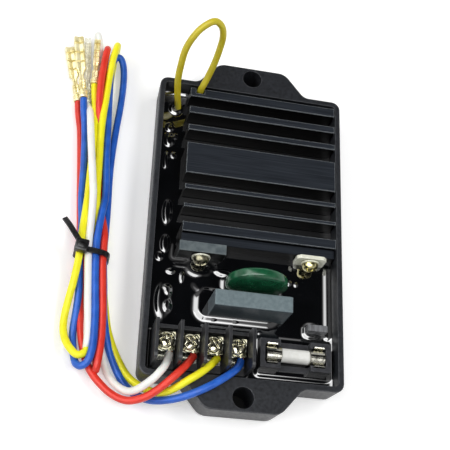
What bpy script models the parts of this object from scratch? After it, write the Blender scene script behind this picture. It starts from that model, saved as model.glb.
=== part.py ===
import math

import bmesh
import bpy
from mathutils import Vector

# Potted voltage regulator. Sizes are in metres. X runs across the case, +Y towards the far ear.
CLEARANCE = 0.0003

# Case tray with two bolt ears
CASE_HEIGHT = 0.0121
CASE_WALL = 0.0019
CASE_FLOOR = 0.0015
CASE_CORNER = 0.003
CAVITY_CORNER = 0.0013
SIDE_DRAFT = 0.0004
BASE_ROUND = 0.0006
RIM_ROUND = 0.0002
EAR_FOOT_WIDTH = 0.0396
EAR_TIP_WIDTH = 0.0246
EAR_REACH = 0.009
EAR_CORNER = 0.005
EAR_FILLET = 0.004
EAR_HOLE_RADIUS = 0.0035
EAR_HOLE_REACH = 0.00455

# Board and resin
BOARD_THICKNESS = 0.0016
RESIN_THICKNESS = 0.0014
RESIN_STRIP_WIDTH = 0.0092

# Heat sink, an extrusion along X: tip thickness of each fin and the gaps between them, from the far end
FIN_THICKNESSES = (0.0035, 0.00268, 0.0022, 0.01192, 0.00167, 0.00125, 0.00344)
FIN_GAPS = (0.00416, 0.00479, 0.00502, 0.00445, 0.00565, 0.0056)
FIN_DRAFT = 0.00018
FIN_EDGE = 0.00018
ROOT_RADIUS = 0.0005
HEAT_SINK_BASE = 0.0031
HEAT_SINK_END_SPACE = 0.00097
LEG_THICKNESS = 0.00305
LEG_DROP = 0.0019
NOTCH_OFFSET = 0.0035
NOTCH_WIDTH = 0.0032
NOTCH_DEPTH = 0.0021

# Power devices on the heat sink's leg, and the screws that hold them
DEVICE_TOP_DROP = 0.0003
DEVICE_SCREW_DROP = 0.0037
BAR_WIDTH = 0.0161
BAR_THICKNESS = 0.0037
BAR_OVERHANG = 0.0007
BAR_EDGE = 0.0003
TAB_WIDTH = 0.0104
TAB_THICKNESS = 0.0013
TAB_INSET = 0.003
TAB_EAR_CUT = 0.0012
TAB_LENGTH = 0.0075
TAB_FOOT_SPACE = 0.0006
PACKAGE_THICKNESS = 0.0032
PACKAGE_HEIGHT = 0.0011
BUSH_RADIUS = 0.0032
BUSH_THICKNESS = 0.0005
BUSH_TO_RESIN = 0.0001
SCREW_BORE_DEPTH = 0.0046
DEVICE_SCREW_HEAD_RADIUS = 0.00275
DEVICE_SCREW_HEAD_HEIGHT = 0.0021
DEVICE_SCREW_SHANK_RADIUS = 0.00125
DEVICE_SCREW_LENGTH = 0.007

# Disc varistor, film capacitor and small capacitor
LEG_TO_DISC = 0.0105
DISC_RADIUS = 0.0104
DISC_THICKNESS = 0.005
DISC_EDGE_ROUND = 0.0017
DISC_OFFSET = 0.0257
DISC_CENTRE_HEIGHT = 0.0126
DISC_TO_CAPACITOR = 0.0026
CAPACITOR_WIDTH = 0.0262
CAPACITOR_THICKNESS = 0.0056
CAPACITOR_HEIGHT = 0.0134
CAPACITOR_OFFSET = 0.0241
CAPACITOR_EDGE = 0.0005
SMALL_CAPACITOR_WIDTH = 0.0069
SMALL_CAPACITOR_THICKNESS = 0.0023
SMALL_CAPACITOR_HEIGHT = 0.0054
SMALL_CAPACITOR_SIDE_SPACE = 0.0025
SMALL_CAPACITOR_EDGE = 0.0002

# Barrier terminal block
POLE_COUNT = 4
POLE_PITCH = 0.0077
BARRIER_THICKNESS = 0.001
BARRIER_HEIGHT = 0.0117
BARRIER_NOSE_ROUND = 0.0015
POLE_FLOOR_HEIGHT = 0.0052
TERMINAL_DEPTH = 0.013
TERMINAL_BACK_WALL = 0.0012
TERMINAL_BACK_HEIGHT = 0.0104
CAPACITOR_TO_TERMINALS = 0.0073
TERMINAL_END_SPACE = 0.00135
TERMINAL_SIDE_SPACE = 0.00155
POLE_SCREW_SETBACK = 0.0082
PLATE_WIDTH = 0.0058
PLATE_THICKNESS = 0.0006
PLATE_FRONT_SETBACK = 0.0024
LEAD_RADIUS = 0.00125
LEAD_OFFSET = 0.0016
CLAMP_WIDTH = 0.006
CLAMP_THICKNESS = 0.0006
CLAMP_FRONT_REACH = 0.0034
CLAMP_BACK_REACH = 0.0028
CORE_RADIUS = 0.00045
POLE_SCREW_HEAD_RADIUS = 0.0029
POLE_SCREW_HEAD_HEIGHT = 0.0016
POLE_SCREW_SHANK_RADIUS = 0.0015
POLE_SCREW_LENGTH = 0.008
RECESS_WIDTH = 0.0008
RECESS_DEPTH = 0.0009

# Fuse in its open holder
FUSE_LENGTH = 0.02
FUSE_CAP_RADIUS = 0.0026
FUSE_CAP_LENGTH = 0.0051
FUSE_CAP_WALL = 0.0003
FUSE_TUBE_RADIUS = 0.00235
FUSE_AXIS_HEIGHT = 0.008
FUSE_AXIS_SHIFT = 0.00205
FUSE_END_PLAY = 0.00035
HOLDER_END_WALL = 0.0016
HOLDER_SIDE_WALL = 0.00195
HOLDER_BLOCK_LENGTH = 0.0068
HOLDER_TOP_HEIGHT = 0.0097
HOLDER_RAIL_HEIGHT = 0.0062
HOLDER_FLOOR = 0.0007
CLIP_WIDTH = 0.0034
CLIP_STRIP = 0.0004
CLIP_END_OFFSET = 0.0007
CLIP_TIP_RISE = 0.0012
CLIP_TIP_FLARE = 0.0002
TERMINALS_TO_FUSE = 0.00415
FUSE_SIDE_SPACE = 0.0018

# Four leads: the open stretch of each from its terminal to the folded bundle, chosen point by point
LEAD_ROUTES = (
    (
        "white",
        (-0.0241, -0.0483, 0.0114), (-0.0246, -0.0502, 0.0126), (-0.0256, -0.0520, 0.0137),
        (-0.0271, -0.0540, 0.0141), (-0.0290, -0.0562, 0.0133), (-0.0311, -0.0578, 0.0114),
        (-0.0333, -0.0590, 0.0089), (-0.0356, -0.0592, 0.0066), (-0.0382, -0.0579, 0.0049),
        (-0.0406, -0.0555, 0.0032), (-0.0422, -0.0530, 0.0023), (-0.0433, -0.0515, 0.0022),
    ),
    (
        "red",
        (-0.0165, -0.0483, 0.0114), (-0.0176, -0.0502, 0.0126), (-0.0190, -0.0518, 0.0137),
        (-0.0203, -0.0531, 0.0141), (-0.0219, -0.0546, 0.0141), (-0.0243, -0.0567, 0.0134),
        (-0.0270, -0.0590, 0.0116), (-0.0300, -0.0609, 0.0096), (-0.0328, -0.0618, 0.0078),
        (-0.0357, -0.0620, 0.0062), (-0.0387, -0.0610, 0.0050), (-0.0417, -0.0592, 0.0044),
        (-0.0444, -0.0569, 0.0043), (-0.0460, -0.0552, 0.0043), (-0.04725, -0.05395, 0.0043),
    ),
    (
        "yellow",
        (-0.0089, -0.0483, 0.0114), (-0.0101, -0.0500, 0.0126), (-0.0112, -0.0513, 0.0136),
        (-0.0124, -0.0525, 0.0141), (-0.0148, -0.0539, 0.0142), (-0.0181, -0.0559, 0.0138),
        (-0.0211, -0.0577, 0.0119), (-0.0238, -0.0588, 0.0093), (-0.0266, -0.0588, 0.0070),
        (-0.0292, -0.0578, 0.0050), (-0.0318, -0.0563, 0.0034), (-0.0341, -0.0542, 0.0021),
        (-0.0362, -0.0518, 0.0014), (-0.0381, -0.0487, 0.0014), (-0.0399, -0.0453, 0.0014),
        (-0.0413, -0.0422, 0.0014), (-0.0424, -0.0394, 0.0014),
    ),
    (
        "blue",
        (-0.0011, -0.0483, 0.0114), (-0.0019, -0.0500, 0.0126), (-0.0030, -0.0514, 0.0136),
        (-0.0044, -0.0527, 0.0141), (-0.0074, -0.0546, 0.0142), (-0.0113, -0.0571, 0.0142),
        (-0.0146, -0.0589, 0.0140), (-0.0170, -0.0600, 0.0132), (-0.0199, -0.0608, 0.0112),
        (-0.0246, -0.0613, 0.0076), (-0.0282, -0.0609, 0.0049), (-0.0313, -0.0598, 0.0030),
        (-0.0344, -0.0581, 0.0018), (-0.0368, -0.0559, 0.0014), (-0.0394, -0.0524, 0.0014),
        (-0.0415, -0.0486, 0.0014), (-0.0426, -0.0464, 0.0014),
    ),
)

# Folded bundle of the leads, as corners of its outline with a radius each
BUNDLE_HEIGHT = 0.0083
BUNDLE_CORNERS = (
    (-0.0594, -0.0360, 0.006), (-0.0575, -0.0490, 0.004), (-0.0510, -0.0535, 0.0025),
    (-0.0442, -0.0522, 0.0025), (-0.0439, -0.0380, 0.008), (-0.0452, -0.0160, 0.010),
    (-0.0454, 0.0100, 0.010), (-0.0442, 0.0480, 0.006), (-0.0444, 0.0605, 0.005),
    (-0.0493, 0.0736, 0.002), (-0.0532, 0.0690, 0.001), (-0.0545, 0.0742, 0.0004),
    (-0.0553, 0.0725, 0.0005), (-0.0544, 0.0514, 0.0002), (-0.0561, 0.0514, 0.0004),
    (-0.0561, 0.0451, 0.0003), (-0.0629, 0.0451, 0.001), (-0.0596, 0.0240, 0.010),
    (-0.0576, 0.0050, 0.010), (-0.0565, -0.0100, 0.008), (-0.0566, -0.0200, 0.006),
)

# Cable tie round the bundle
TIE_Y = -0.0126
TIE_WIDTH = 0.0019
TIE_THICKNESS = 0.0011
TIE_CORNER = 0.0016
TIE_HEAD_WIDTH = 0.0042
TIE_HEAD_LENGTH = 0.0044
TIE_HEAD_HEIGHT = 0.0026
TIE_TAIL_LENGTH = 0.0108
TIE_TAIL_TURN = 40
TIE_TAIL_DROP = 12

# Spade connectors: crimp end, tip end, height of the axis, and half width and half height of the blade end
CONNECTORS = (
    ("white", (-0.0579, 0.0454), (-0.0605, 0.0726), 0.0016, 0.0011, 0.0015),
    ("red", (-0.0613, 0.0454), (-0.0667, 0.0675), 0.0016, 0.0016, 0.0012),
    ("yellow", (-0.0563, 0.0517), (-0.0570, 0.0705), 0.0046, 0.0011, 0.0015),
    ("blue", (-0.0597, 0.0454), (-0.0639, 0.0706), 0.0046, 0.0016, 0.0012),
)
CRIMP_LENGTH = 0.0077
CRIMP_SHOULDER = 0.0009
CRIMP_RADIUS = 0.0015
NECK_LENGTH = 0.0012
NECK_RADIUS = 0.0008
BLADE_SHOULDER = 0.0013
BLADE_SQUARENESS = 0.3

# Jumper loop from the resin strip over the far wall into the heat sink's notch
JUMPER_RADIUS = 0.0012
JUMPER_RISE = (
    (-0.0258, 0.0467, 0.0055), (-0.0272, 0.0481, 0.0121), (-0.0282, 0.0500, 0.0181),
    (-0.0284, 0.0522, 0.0246), (-0.0279, 0.0546, 0.0316), (-0.0252, 0.0578, 0.0371),
    (-0.0218, 0.0602, 0.0396), (-0.0194, 0.0613, 0.0396), (-0.0169, 0.0612, 0.0371),
    (-0.0158, 0.0603, 0.0336), (-0.0156, 0.0595, 0.0306), (-0.0162, 0.0566, 0.0231),
    (-0.0176, 0.0535, 0.0165), (-0.0186, 0.0517, 0.0136), (-0.0189, 0.0513, 0.0110),
    (-0.0189, 0.0513, 0.0075), (-0.0189, 0.0513, 0.0036),
)

# Sizes that follow from the ones above
TERMINAL_WIDTH = POLE_COUNT * POLE_PITCH + BARRIER_THICKNESS
HOLDER_LENGTH = FUSE_LENGTH + 2 * (FUSE_END_PLAY + HOLDER_END_WALL)
TROUGH_HALF_WIDTH = FUSE_CAP_RADIUS + CLEARANCE
CLIP_INNER_RADIUS = FUSE_CAP_RADIUS + CLEARANCE
CLIP_OUTER_RADIUS = CLIP_INNER_RADIUS + CLIP_STRIP
HOLDER_HALF_DEPTH = TROUGH_HALF_WIDTH + HOLDER_SIDE_WALL
CAVITY_WIDTH = TERMINAL_SIDE_SPACE + TERMINAL_WIDTH + TERMINALS_TO_FUSE + HOLDER_LENGTH + FUSE_SIDE_SPACE
HEAT_SINK_DEPTH = sum(FIN_THICKNESSES) + sum(FIN_GAPS) + LEG_THICKNESS
FRONT_BAY = (
    LEG_TO_DISC + DISC_THICKNESS + DISC_TO_CAPACITOR + CAPACITOR_THICKNESS
    + CAPACITOR_TO_TERMINALS + TERMINAL_DEPTH + TERMINAL_END_SPACE
)
CAVITY_LENGTH = HEAT_SINK_END_SPACE + HEAT_SINK_DEPTH + FRONT_BAY
INNER_X = CAVITY_WIDTH / 2
INNER_Y = CAVITY_LENGTH / 2
OUTER_X = INNER_X + CASE_WALL
OUTER_Y = INNER_Y + CASE_WALL

BOARD_BOTTOM = CASE_FLOOR + CLEARANCE
BOARD_TOP = BOARD_BOTTOM + BOARD_THICKNESS
SEAT = BOARD_TOP + CLEARANCE
RESIN_TOP = SEAT + RESIN_THICKNESS

HEAT_SINK_LEFT = -INNER_X + RESIN_STRIP_WIDTH
HEAT_SINK_RIGHT = INNER_X - CLEARANCE
HEAT_SINK_FAR = INNER_Y - HEAT_SINK_END_SPACE
LEG_FACE = HEAT_SINK_FAR - HEAT_SINK_DEPTH
DEVICE_BACK = LEG_FACE - CLEARANCE
# The bushes stand clear of the resin; the drops of screw, leg and bar are taken from one level
DEVICE_SCREW_HEIGHT = RESIN_TOP + BUSH_TO_RESIN + BUSH_RADIUS
DEVICE_LEVEL = DEVICE_SCREW_HEIGHT + DEVICE_SCREW_DROP
DEVICE_TOP = DEVICE_LEVEL - DEVICE_TOP_DROP
TAB_BOTTOM = SEAT + TAB_FOOT_SPACE
DEVICE_HOLE_RADIUS = DEVICE_SCREW_SHANK_RADIUS + CLEARANCE
BAR_LEFT = HEAT_SINK_LEFT - BAR_OVERHANG
BAR_SCREW_X = BAR_LEFT + BAR_WIDTH / 2
TAB_RIGHT = HEAT_SINK_RIGHT - TAB_INSET
TAB_SCREW_X = TAB_RIGHT - TAB_WIDTH / 2

DISC_FAR = LEG_FACE - LEG_TO_DISC
CAPACITOR_FAR = DISC_FAR - DISC_THICKNESS - DISC_TO_CAPACITOR
CAPACITOR_NEAR = CAPACITOR_FAR - CAPACITOR_THICKNESS
TERMINAL_FAR = CAPACITOR_NEAR - CAPACITOR_TO_TERMINALS
TERMINAL_NEAR = TERMINAL_FAR - TERMINAL_DEPTH
TERMINAL_LEFT = -INNER_X + TERMINAL_SIDE_SPACE
POLE_FLOOR = SEAT + POLE_FLOOR_HEIGHT
POLE_SCREW_Y = TERMINAL_NEAR + POLE_SCREW_SETBACK
PLATE_BOTTOM = POLE_FLOOR + CLEARANCE
PLATE_TOP = PLATE_BOTTOM + PLATE_THICKNESS
LEAD_HEIGHT = PLATE_TOP + CLEARANCE + LEAD_RADIUS
CLAMP_BOTTOM = LEAD_HEIGHT + CORE_RADIUS + CLEARANCE
POLE_HEAD_BOTTOM = CLAMP_BOTTOM + CLAMP_THICKNESS + CLEARANCE
POLE_HOLE_RADIUS = POLE_SCREW_SHANK_RADIUS + CLEARANCE

HOLDER_LEFT = TERMINAL_LEFT + TERMINAL_WIDTH + TERMINALS_TO_FUSE
FUSE_CENTRE_X = HOLDER_LEFT + HOLDER_LENGTH / 2
FUSE_Y = (TERMINAL_FAR + TERMINAL_NEAR) / 2 + FUSE_AXIS_SHIFT

# Round steps: how many flats each kind of arc gets
CORNER_STEPS = 5
SCREW_STEPS = 20
HOLE_STEPS = 24
DISC_STEPS = 36
FUSE_STEPS = 24
CONNECTOR_STEPS = 16
ROUTE_STEPS = 3


def clear_scene():
    for item in list(bpy.data.objects):
        bpy.data.objects.remove(item, do_unlink=True)


def look(name, colour, roughness, metallic=0.0):
    material = bpy.data.materials.new(name)
    material.use_nodes = True
    shader = material.node_tree.nodes["Principled BSDF"]
    shader.inputs["Base Color"].default_value = (*colour, 1.0)
    shader.inputs["Roughness"].default_value = roughness
    shader.inputs["Metallic"].default_value = metallic
    material.diffuse_color = (*colour, 1.0)
    return material


def add(name, mesh, material, place=(0, 0, 0), turn=(0, 0, 0)):
    item = bpy.data.objects.new(name, mesh)
    item.location = place
    item.rotation_euler = turn
    if material and not mesh.materials:
        mesh.materials.append(material)
    bpy.context.scene.collection.objects.link(item)
    return item


def finish(model, name):
    bmesh.ops.recalc_face_normals(model, faces=model.faces)
    mesh = bpy.data.meshes.new(name)
    model.to_mesh(mesh)
    model.free()
    return mesh


def loft(name, loops):
    # One closed skin through loops that all have the same number of points
    model = bmesh.new()
    rings = [[model.verts.new(point) for point in loop] for loop in loops]
    for lower, upper in zip(rings, rings[1:]):
        for index, corner in enumerate(lower):
            following = (index + 1) % len(lower)
            model.faces.new((corner, lower[following], upper[following], upper[index]))
    model.faces.new(list(reversed(rings[0])))
    model.faces.new(rings[-1])
    return finish(model, name)


def box_mesh(name, low, high):
    corners = ((low[0], low[1]), (high[0], low[1]), (high[0], high[1]), (low[0], high[1]))
    return loft(name, [[(x, y, z) for x, y in corners] for z in (low[2], high[2])])


def turned_mesh(name, profile, steps):
    # Profile of (radius, height) pairs, turned round Z
    loops = []
    for radius, height in profile:
        angles = [2 * math.pi * step / steps for step in range(steps)]
        loops.append([(radius * math.cos(angle), radius * math.sin(angle), height) for angle in angles])
    mesh = loft(name, loops)
    mesh.shade_smooth()
    mesh.set_sharp_from_angle(angle=math.radians(35))
    return mesh


def extruded_mesh(name, outline, start, end):
    # Outline of (y, z) points, run along X
    return loft(name, [[(x, y, z) for y, z in outline] for x in (start, end)])


def cutter(name, mesh, place=(0, 0, 0), turn=(0, 0, 0)):
    item = add(name, mesh, None, place, turn)
    item.hide_render = True
    item.display_type = "WIRE"
    return item


def cut(target, tool, operation="DIFFERENCE"):
    change = target.modifiers.new(tool.name, "BOOLEAN")
    change.operation = operation
    change.solver = "EXACT"
    change.object = tool


def round_edges(item, width, segments=2):
    change = item.modifiers.new("rounded edges", "BEVEL")
    change.width = width
    change.segments = segments
    change.limit_method = "ANGLE"
    change.angle_limit = math.radians(40)


def filleted(corners, steps=CORNER_STEPS):
    # Outline through (x, y, radius) corners, each rounded by its own radius, inward or outward
    points = []
    for index, (x, y, radius) in enumerate(corners):
        corner = Vector((x, y))
        before = Vector(corners[index - 1][:2])
        after = Vector(corners[(index + 1) % len(corners)][:2])
        back = (before - corner).normalized()
        ahead = (after - corner).normalized()
        half = back.angle(ahead) / 2
        reach = radius / math.tan(half)
        centre = corner + (back + ahead).normalized() * (radius / math.sin(half))
        first = corner + back * reach - centre
        last = corner + ahead * reach - centre
        sweep = first.angle_signed(last)
        start = math.atan2(first.y, first.x)
        for step in range(steps + 1):
            angle = start - sweep * step / steps
            points.append((centre.x + radius * math.cos(angle), centre.y + radius * math.sin(angle)))
    return points


def tray_outline(inset):
    x, y = OUTER_X - inset, OUTER_Y - inset
    foot, tip, reach = EAR_FOOT_WIDTH / 2 - inset, EAR_TIP_WIDTH / 2 - inset, OUTER_Y + EAR_REACH - inset
    quarter = [(x, y, CASE_CORNER), (foot, y, EAR_FILLET), (tip, reach, EAR_CORNER)]
    far = quarter + [(-px, py, radius) for px, py, radius in reversed(quarter)]
    return filleted(far + [(-px, -py, radius) for px, py, radius in far])


def build_tray(plastic):
    levels = (
        (0.0, SIDE_DRAFT + BASE_ROUND),
        (BASE_ROUND, SIDE_DRAFT),
        (CASE_HEIGHT - RIM_ROUND, 0.0),
        (CASE_HEIGHT, RIM_ROUND),
    )
    loops = [[(x, y, height) for x, y in tray_outline(inset)] for height, inset in levels]
    tray = add("case_tray", loft("case_tray", loops), plastic)
    corners = [(INNER_X, INNER_Y), (-INNER_X, INNER_Y), (-INNER_X, -INNER_Y), (INNER_X, -INNER_Y)]
    hollow = filleted([(x, y, CAVITY_CORNER) for x, y in corners])
    loops = [[(x, y, height) for x, y in hollow] for height in (CASE_FLOOR, 2 * CASE_HEIGHT)]
    cut(tray, cutter("tray_hollow", loft("tray_hollow", loops)))
    bore = turned_mesh("ear_bore", [(EAR_HOLE_RADIUS, -CASE_HEIGHT), (EAR_HOLE_RADIUS, 2 * CASE_HEIGHT)], HOLE_STEPS)
    for side, name in ((1, "far_ear_bore"), (-1, "near_ear_bore")):
        cut(tray, cutter(name, bore, (0, side * (OUTER_Y + EAR_HOLE_REACH), 0)))


def potting_outline():
    # The front of the cavity and the strip beside the heat sink
    left, right = -INNER_X + CLEARANCE, INNER_X - CLEARANCE
    near, far = -INNER_Y + CLEARANCE, INNER_Y - CLEARANCE
    strip, shoulder = HEAT_SINK_LEFT - CLEARANCE, LEG_FACE - CLEARANCE
    return filleted([
        (left, near, CAVITY_CORNER),
        (right, near, CAVITY_CORNER),
        (right, shoulder, CLEARANCE),
        (strip, shoulder, CLEARANCE),
        (strip, far, CLEARANCE),
        (left, far, CAVITY_CORNER),
    ], steps=3)


def pockets():
    # Footprints that stand in the resin: low corner and high corner of each
    bar_near = DEVICE_BACK - BAR_THICKNESS
    package_near = DEVICE_BACK - TAB_THICKNESS - CLEARANCE - PACKAGE_THICKNESS
    disc_x = HEAT_SINK_LEFT + DISC_OFFSET
    disc_half = math.sqrt(DISC_RADIUS ** 2 - (DISC_CENTRE_HEIGHT - RESIN_TOP) ** 2)
    capacitor_x = HEAT_SINK_LEFT + CAPACITOR_OFFSET
    small_right = INNER_X - SMALL_CAPACITOR_SIDE_SPACE
    small_far = CAPACITOR_NEAR - CLEARANCE
    return {
        "bar_pocket": ((BAR_LEFT, bar_near), (BAR_LEFT + BAR_WIDTH, LEG_FACE)),
        "package_pocket": ((TAB_RIGHT - TAB_WIDTH, package_near), (TAB_RIGHT, LEG_FACE)),
        "disc_pocket": ((disc_x - disc_half, DISC_FAR - DISC_THICKNESS), (disc_x + disc_half, DISC_FAR)),
        "capacitor_pocket": (
            (capacitor_x - CAPACITOR_WIDTH / 2, CAPACITOR_NEAR),
            (capacitor_x + CAPACITOR_WIDTH / 2, CAPACITOR_FAR),
        ),
        "small_capacitor_pocket": (
            (small_right - SMALL_CAPACITOR_WIDTH, small_far - SMALL_CAPACITOR_THICKNESS),
            (small_right, small_far),
        ),
        "terminal_pocket": ((TERMINAL_LEFT, TERMINAL_NEAR), (TERMINAL_LEFT + TERMINAL_WIDTH, TERMINAL_FAR)),
        "holder_pocket": (
            (HOLDER_LEFT, FUSE_Y - HOLDER_HALF_DEPTH),
            (HOLDER_LEFT + HOLDER_LENGTH, FUSE_Y + HOLDER_HALF_DEPTH),
        ),
    }


def build_board_and_resin(board_green, resin_black):
    outline = potting_outline()
    board = [[(x, y, height) for x, y in outline] for height in (BOARD_BOTTOM, BOARD_TOP)]
    add("circuit_board", loft("circuit_board", board), board_green)
    resin = [[(x, y, height) for x, y in outline] for height in (SEAT, RESIN_TOP)]
    resin = add("potting_resin", loft("potting_resin", resin), resin_black)
    for name, (low, high) in pockets().items():
        low = (low[0] - CLEARANCE, low[1] - CLEARANCE, BOARD_TOP)
        high = (high[0] + CLEARANCE, high[1] + CLEARANCE, 2 * RESIN_TOP)
        cut(resin, cutter(name, box_mesh(name, low, high)))


def fin_side(y, root, top, way):
    # One side of a fin from its root fillet to its broken tip edge, way being +1 on the far side
    foot = y + way * FIN_DRAFT
    arc = []
    for step in range(3):
        angle = math.pi / 4 * step
        arc.append((
            foot + way * ROOT_RADIUS * (1 - math.sin(angle)),
            root + ROOT_RADIUS * (1 - math.cos(angle)),
        ))
    return arc + [(y, top - FIN_EDGE), (y - way * FIN_EDGE, top)]


def heat_sink_profile():
    base = CASE_FLOOR + CLEARANCE
    root = base + HEAT_SINK_BASE
    top = CASE_HEIGHT
    points = [(HEAT_SINK_FAR, base)]
    far = HEAT_SINK_FAR
    last = len(FIN_THICKNESSES) - 1
    for index, thickness in enumerate(FIN_THICKNESSES):
        near = far - thickness
        if index == 0:
            points += [(far, top - FIN_EDGE), (far - FIN_EDGE, top)]
        else:
            points += fin_side(far, root, top, 1)
        if index < last:
            points += reversed(fin_side(near, root, top, -1))
            far = near - FIN_GAPS[index]
    leg_top = DEVICE_LEVEL - LEG_DROP
    points += [(near + FIN_EDGE, top), (near, top - FIN_EDGE), (near, leg_top)]
    points += [(LEG_FACE + FIN_EDGE, leg_top), (LEG_FACE, leg_top - FIN_EDGE), (LEG_FACE, base)]
    return points


def build_heat_sink(aluminium):
    profile = heat_sink_profile()
    sink = add("heat_sink", extruded_mesh("heat_sink", profile, HEAT_SINK_LEFT, HEAT_SINK_RIGHT), aluminium)
    bore_profile = [(DEVICE_HOLE_RADIUS, -LEG_THICKNESS), (DEVICE_HOLE_RADIUS, SCREW_BORE_DEPTH)]
    bore = turned_mesh("screw_bore", bore_profile, HOLE_STEPS)
    for name, x in (("bar_screw_bore", BAR_SCREW_X), ("tab_screw_bore", TAB_SCREW_X)):
        place = (x, LEG_FACE, DEVICE_SCREW_HEIGHT)
        cut(sink, cutter(name, bore, place, (-math.pi / 2, 0, 0)))
    middle = HEAT_SINK_LEFT + NOTCH_OFFSET
    low = (middle - NOTCH_WIDTH / 2, HEAT_SINK_FAR - NOTCH_DEPTH, 0.0)
    high = (middle + NOTCH_WIDTH / 2, INNER_Y, 2 * CASE_HEIGHT)
    cut(sink, cutter("jumper_notch", box_mesh("jumper_notch", low, high)))


def screw_mesh(name, material, head_radius, head_height, shank_radius, length):
    # Pan head up, shank down, with a crosswise recess in the head
    edge = head_height * 0.35
    profile = [
        (shank_radius * 0.7, -length),
        (shank_radius, -length + shank_radius * 0.4),
        (shank_radius, 0.0),
        (head_radius, 0.0),
        (head_radius, head_height - 2 * edge),
        (head_radius * 0.93, head_height - edge),
        (head_radius * 0.72, head_height - edge * 0.2),
        (head_radius * 0.35, head_height),
    ]
    blank = add(name, turned_mesh(name, profile, SCREW_STEPS), material)
    arm = head_radius * 0.62
    half = RECESS_WIDTH / 2
    cross = [
        (arm, -half), (arm, half), (half, half), (half, arm), (-half, arm), (-half, half),
        (-arm, half), (-arm, -half), (-half, -half), (-half, -arm), (half, -arm), (half, -half),
    ]
    levels = ((head_height - RECESS_DEPTH, 0.55), (head_height + RECESS_DEPTH, 1.45))
    tool = cutter(name + "_recess", loft(name + "_recess", [
        [(x * size, y * size, height) for x, y in cross] for height, size in levels
    ]))
    cut(blank, tool)
    bpy.context.view_layer.update()
    mesh = bpy.data.meshes.new_from_object(blank.evaluated_get(bpy.context.evaluated_depsgraph_get()))
    bpy.data.objects.remove(blank, do_unlink=True)
    bpy.data.objects.remove(tool, do_unlink=True)
    mesh.name = name
    return mesh


def build_bar_device(aluminium):
    back = DEVICE_BACK
    low = (BAR_LEFT, back - BAR_THICKNESS, SEAT)
    high = (BAR_LEFT + BAR_WIDTH, back, DEVICE_TOP)
    bar = add("left_power_device", box_mesh("left_power_device", low, high), aluminium)
    round_edges(bar, BAR_EDGE)
    bore = turned_mesh("bar_bore", [(DEVICE_HOLE_RADIUS, -BAR_THICKNESS), (DEVICE_HOLE_RADIUS, 2 * BAR_THICKNESS)], HOLE_STEPS)
    place = (BAR_SCREW_X, back, DEVICE_SCREW_HEIGHT)
    cut(bar, cutter("bar_bore", bore, place, (math.pi / 2, 0, 0)))


def build_tab_device(tin, epoxy):
    back, front = DEVICE_BACK, DEVICE_BACK - TAB_THICKNESS
    left, right, top = TAB_RIGHT - TAB_WIDTH, TAB_RIGHT, TAB_BOTTOM + TAB_LENGTH
    ear = TAB_EAR_CUT
    outline = [
        (left, TAB_BOTTOM), (right, TAB_BOTTOM), (right, top - ear),
        (right - ear, top), (left + ear, top), (left, top - ear),
    ]
    mesh = loft("right_device_tab", [[(x, y, z) for x, z in outline] for y in (front, back)])
    tab = add("right_device_tab", mesh, tin)
    bore = turned_mesh("tab_bore", [(DEVICE_HOLE_RADIUS, -TAB_THICKNESS), (DEVICE_HOLE_RADIUS, 2 * TAB_THICKNESS)], HOLE_STEPS)
    place = (TAB_SCREW_X, back, DEVICE_SCREW_HEIGHT)
    cut(tab, cutter("tab_bore", bore, place, (math.pi / 2, 0, 0)))
    package_back = front - CLEARANCE
    package_front = package_back - PACKAGE_THICKNESS
    slope = PACKAGE_THICKNESS / 4
    outline = [
        (package_back, SEAT), (package_back, SEAT + PACKAGE_HEIGHT),
        (package_front + slope, SEAT + PACKAGE_HEIGHT), (package_front, SEAT + PACKAGE_HEIGHT - slope),
        (package_front, SEAT),
    ]
    add("right_device_package", extruded_mesh("right_device_package", outline, left, right), epoxy)


def build_device_fasteners(steel, bush_white):
    screw = screw_mesh(
        "device_screw", steel, DEVICE_SCREW_HEAD_RADIUS, DEVICE_SCREW_HEAD_HEIGHT,
        DEVICE_SCREW_SHANK_RADIUS, DEVICE_SCREW_LENGTH,
    )
    ring = turned_mesh("device_bush", [(BUSH_RADIUS, 0.0), (BUSH_RADIUS, BUSH_THICKNESS)], SCREW_STEPS)
    hole = turned_mesh("bush_bore", [(DEVICE_HOLE_RADIUS, -BUSH_THICKNESS), (DEVICE_HOLE_RADIUS, 2 * BUSH_THICKNESS)], SCREW_STEPS)
    facing = (math.pi / 2, 0, 0)
    for side, x, thickness in (("left", BAR_SCREW_X, BAR_THICKNESS), ("right", TAB_SCREW_X, TAB_THICKNESS)):
        bush_back = DEVICE_BACK - thickness - CLEARANCE
        place = (x, bush_back, DEVICE_SCREW_HEIGHT)
        bush = add(side + "_device_bush", ring, bush_white, place, facing)
        cut(bush, cutter(side + "_bush_bore", hole, place, facing))
        head_back = bush_back - BUSH_THICKNESS - CLEARANCE
        add(side + "_device_screw", screw, steel, (x, head_back, DEVICE_SCREW_HEIGHT), facing)


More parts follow.
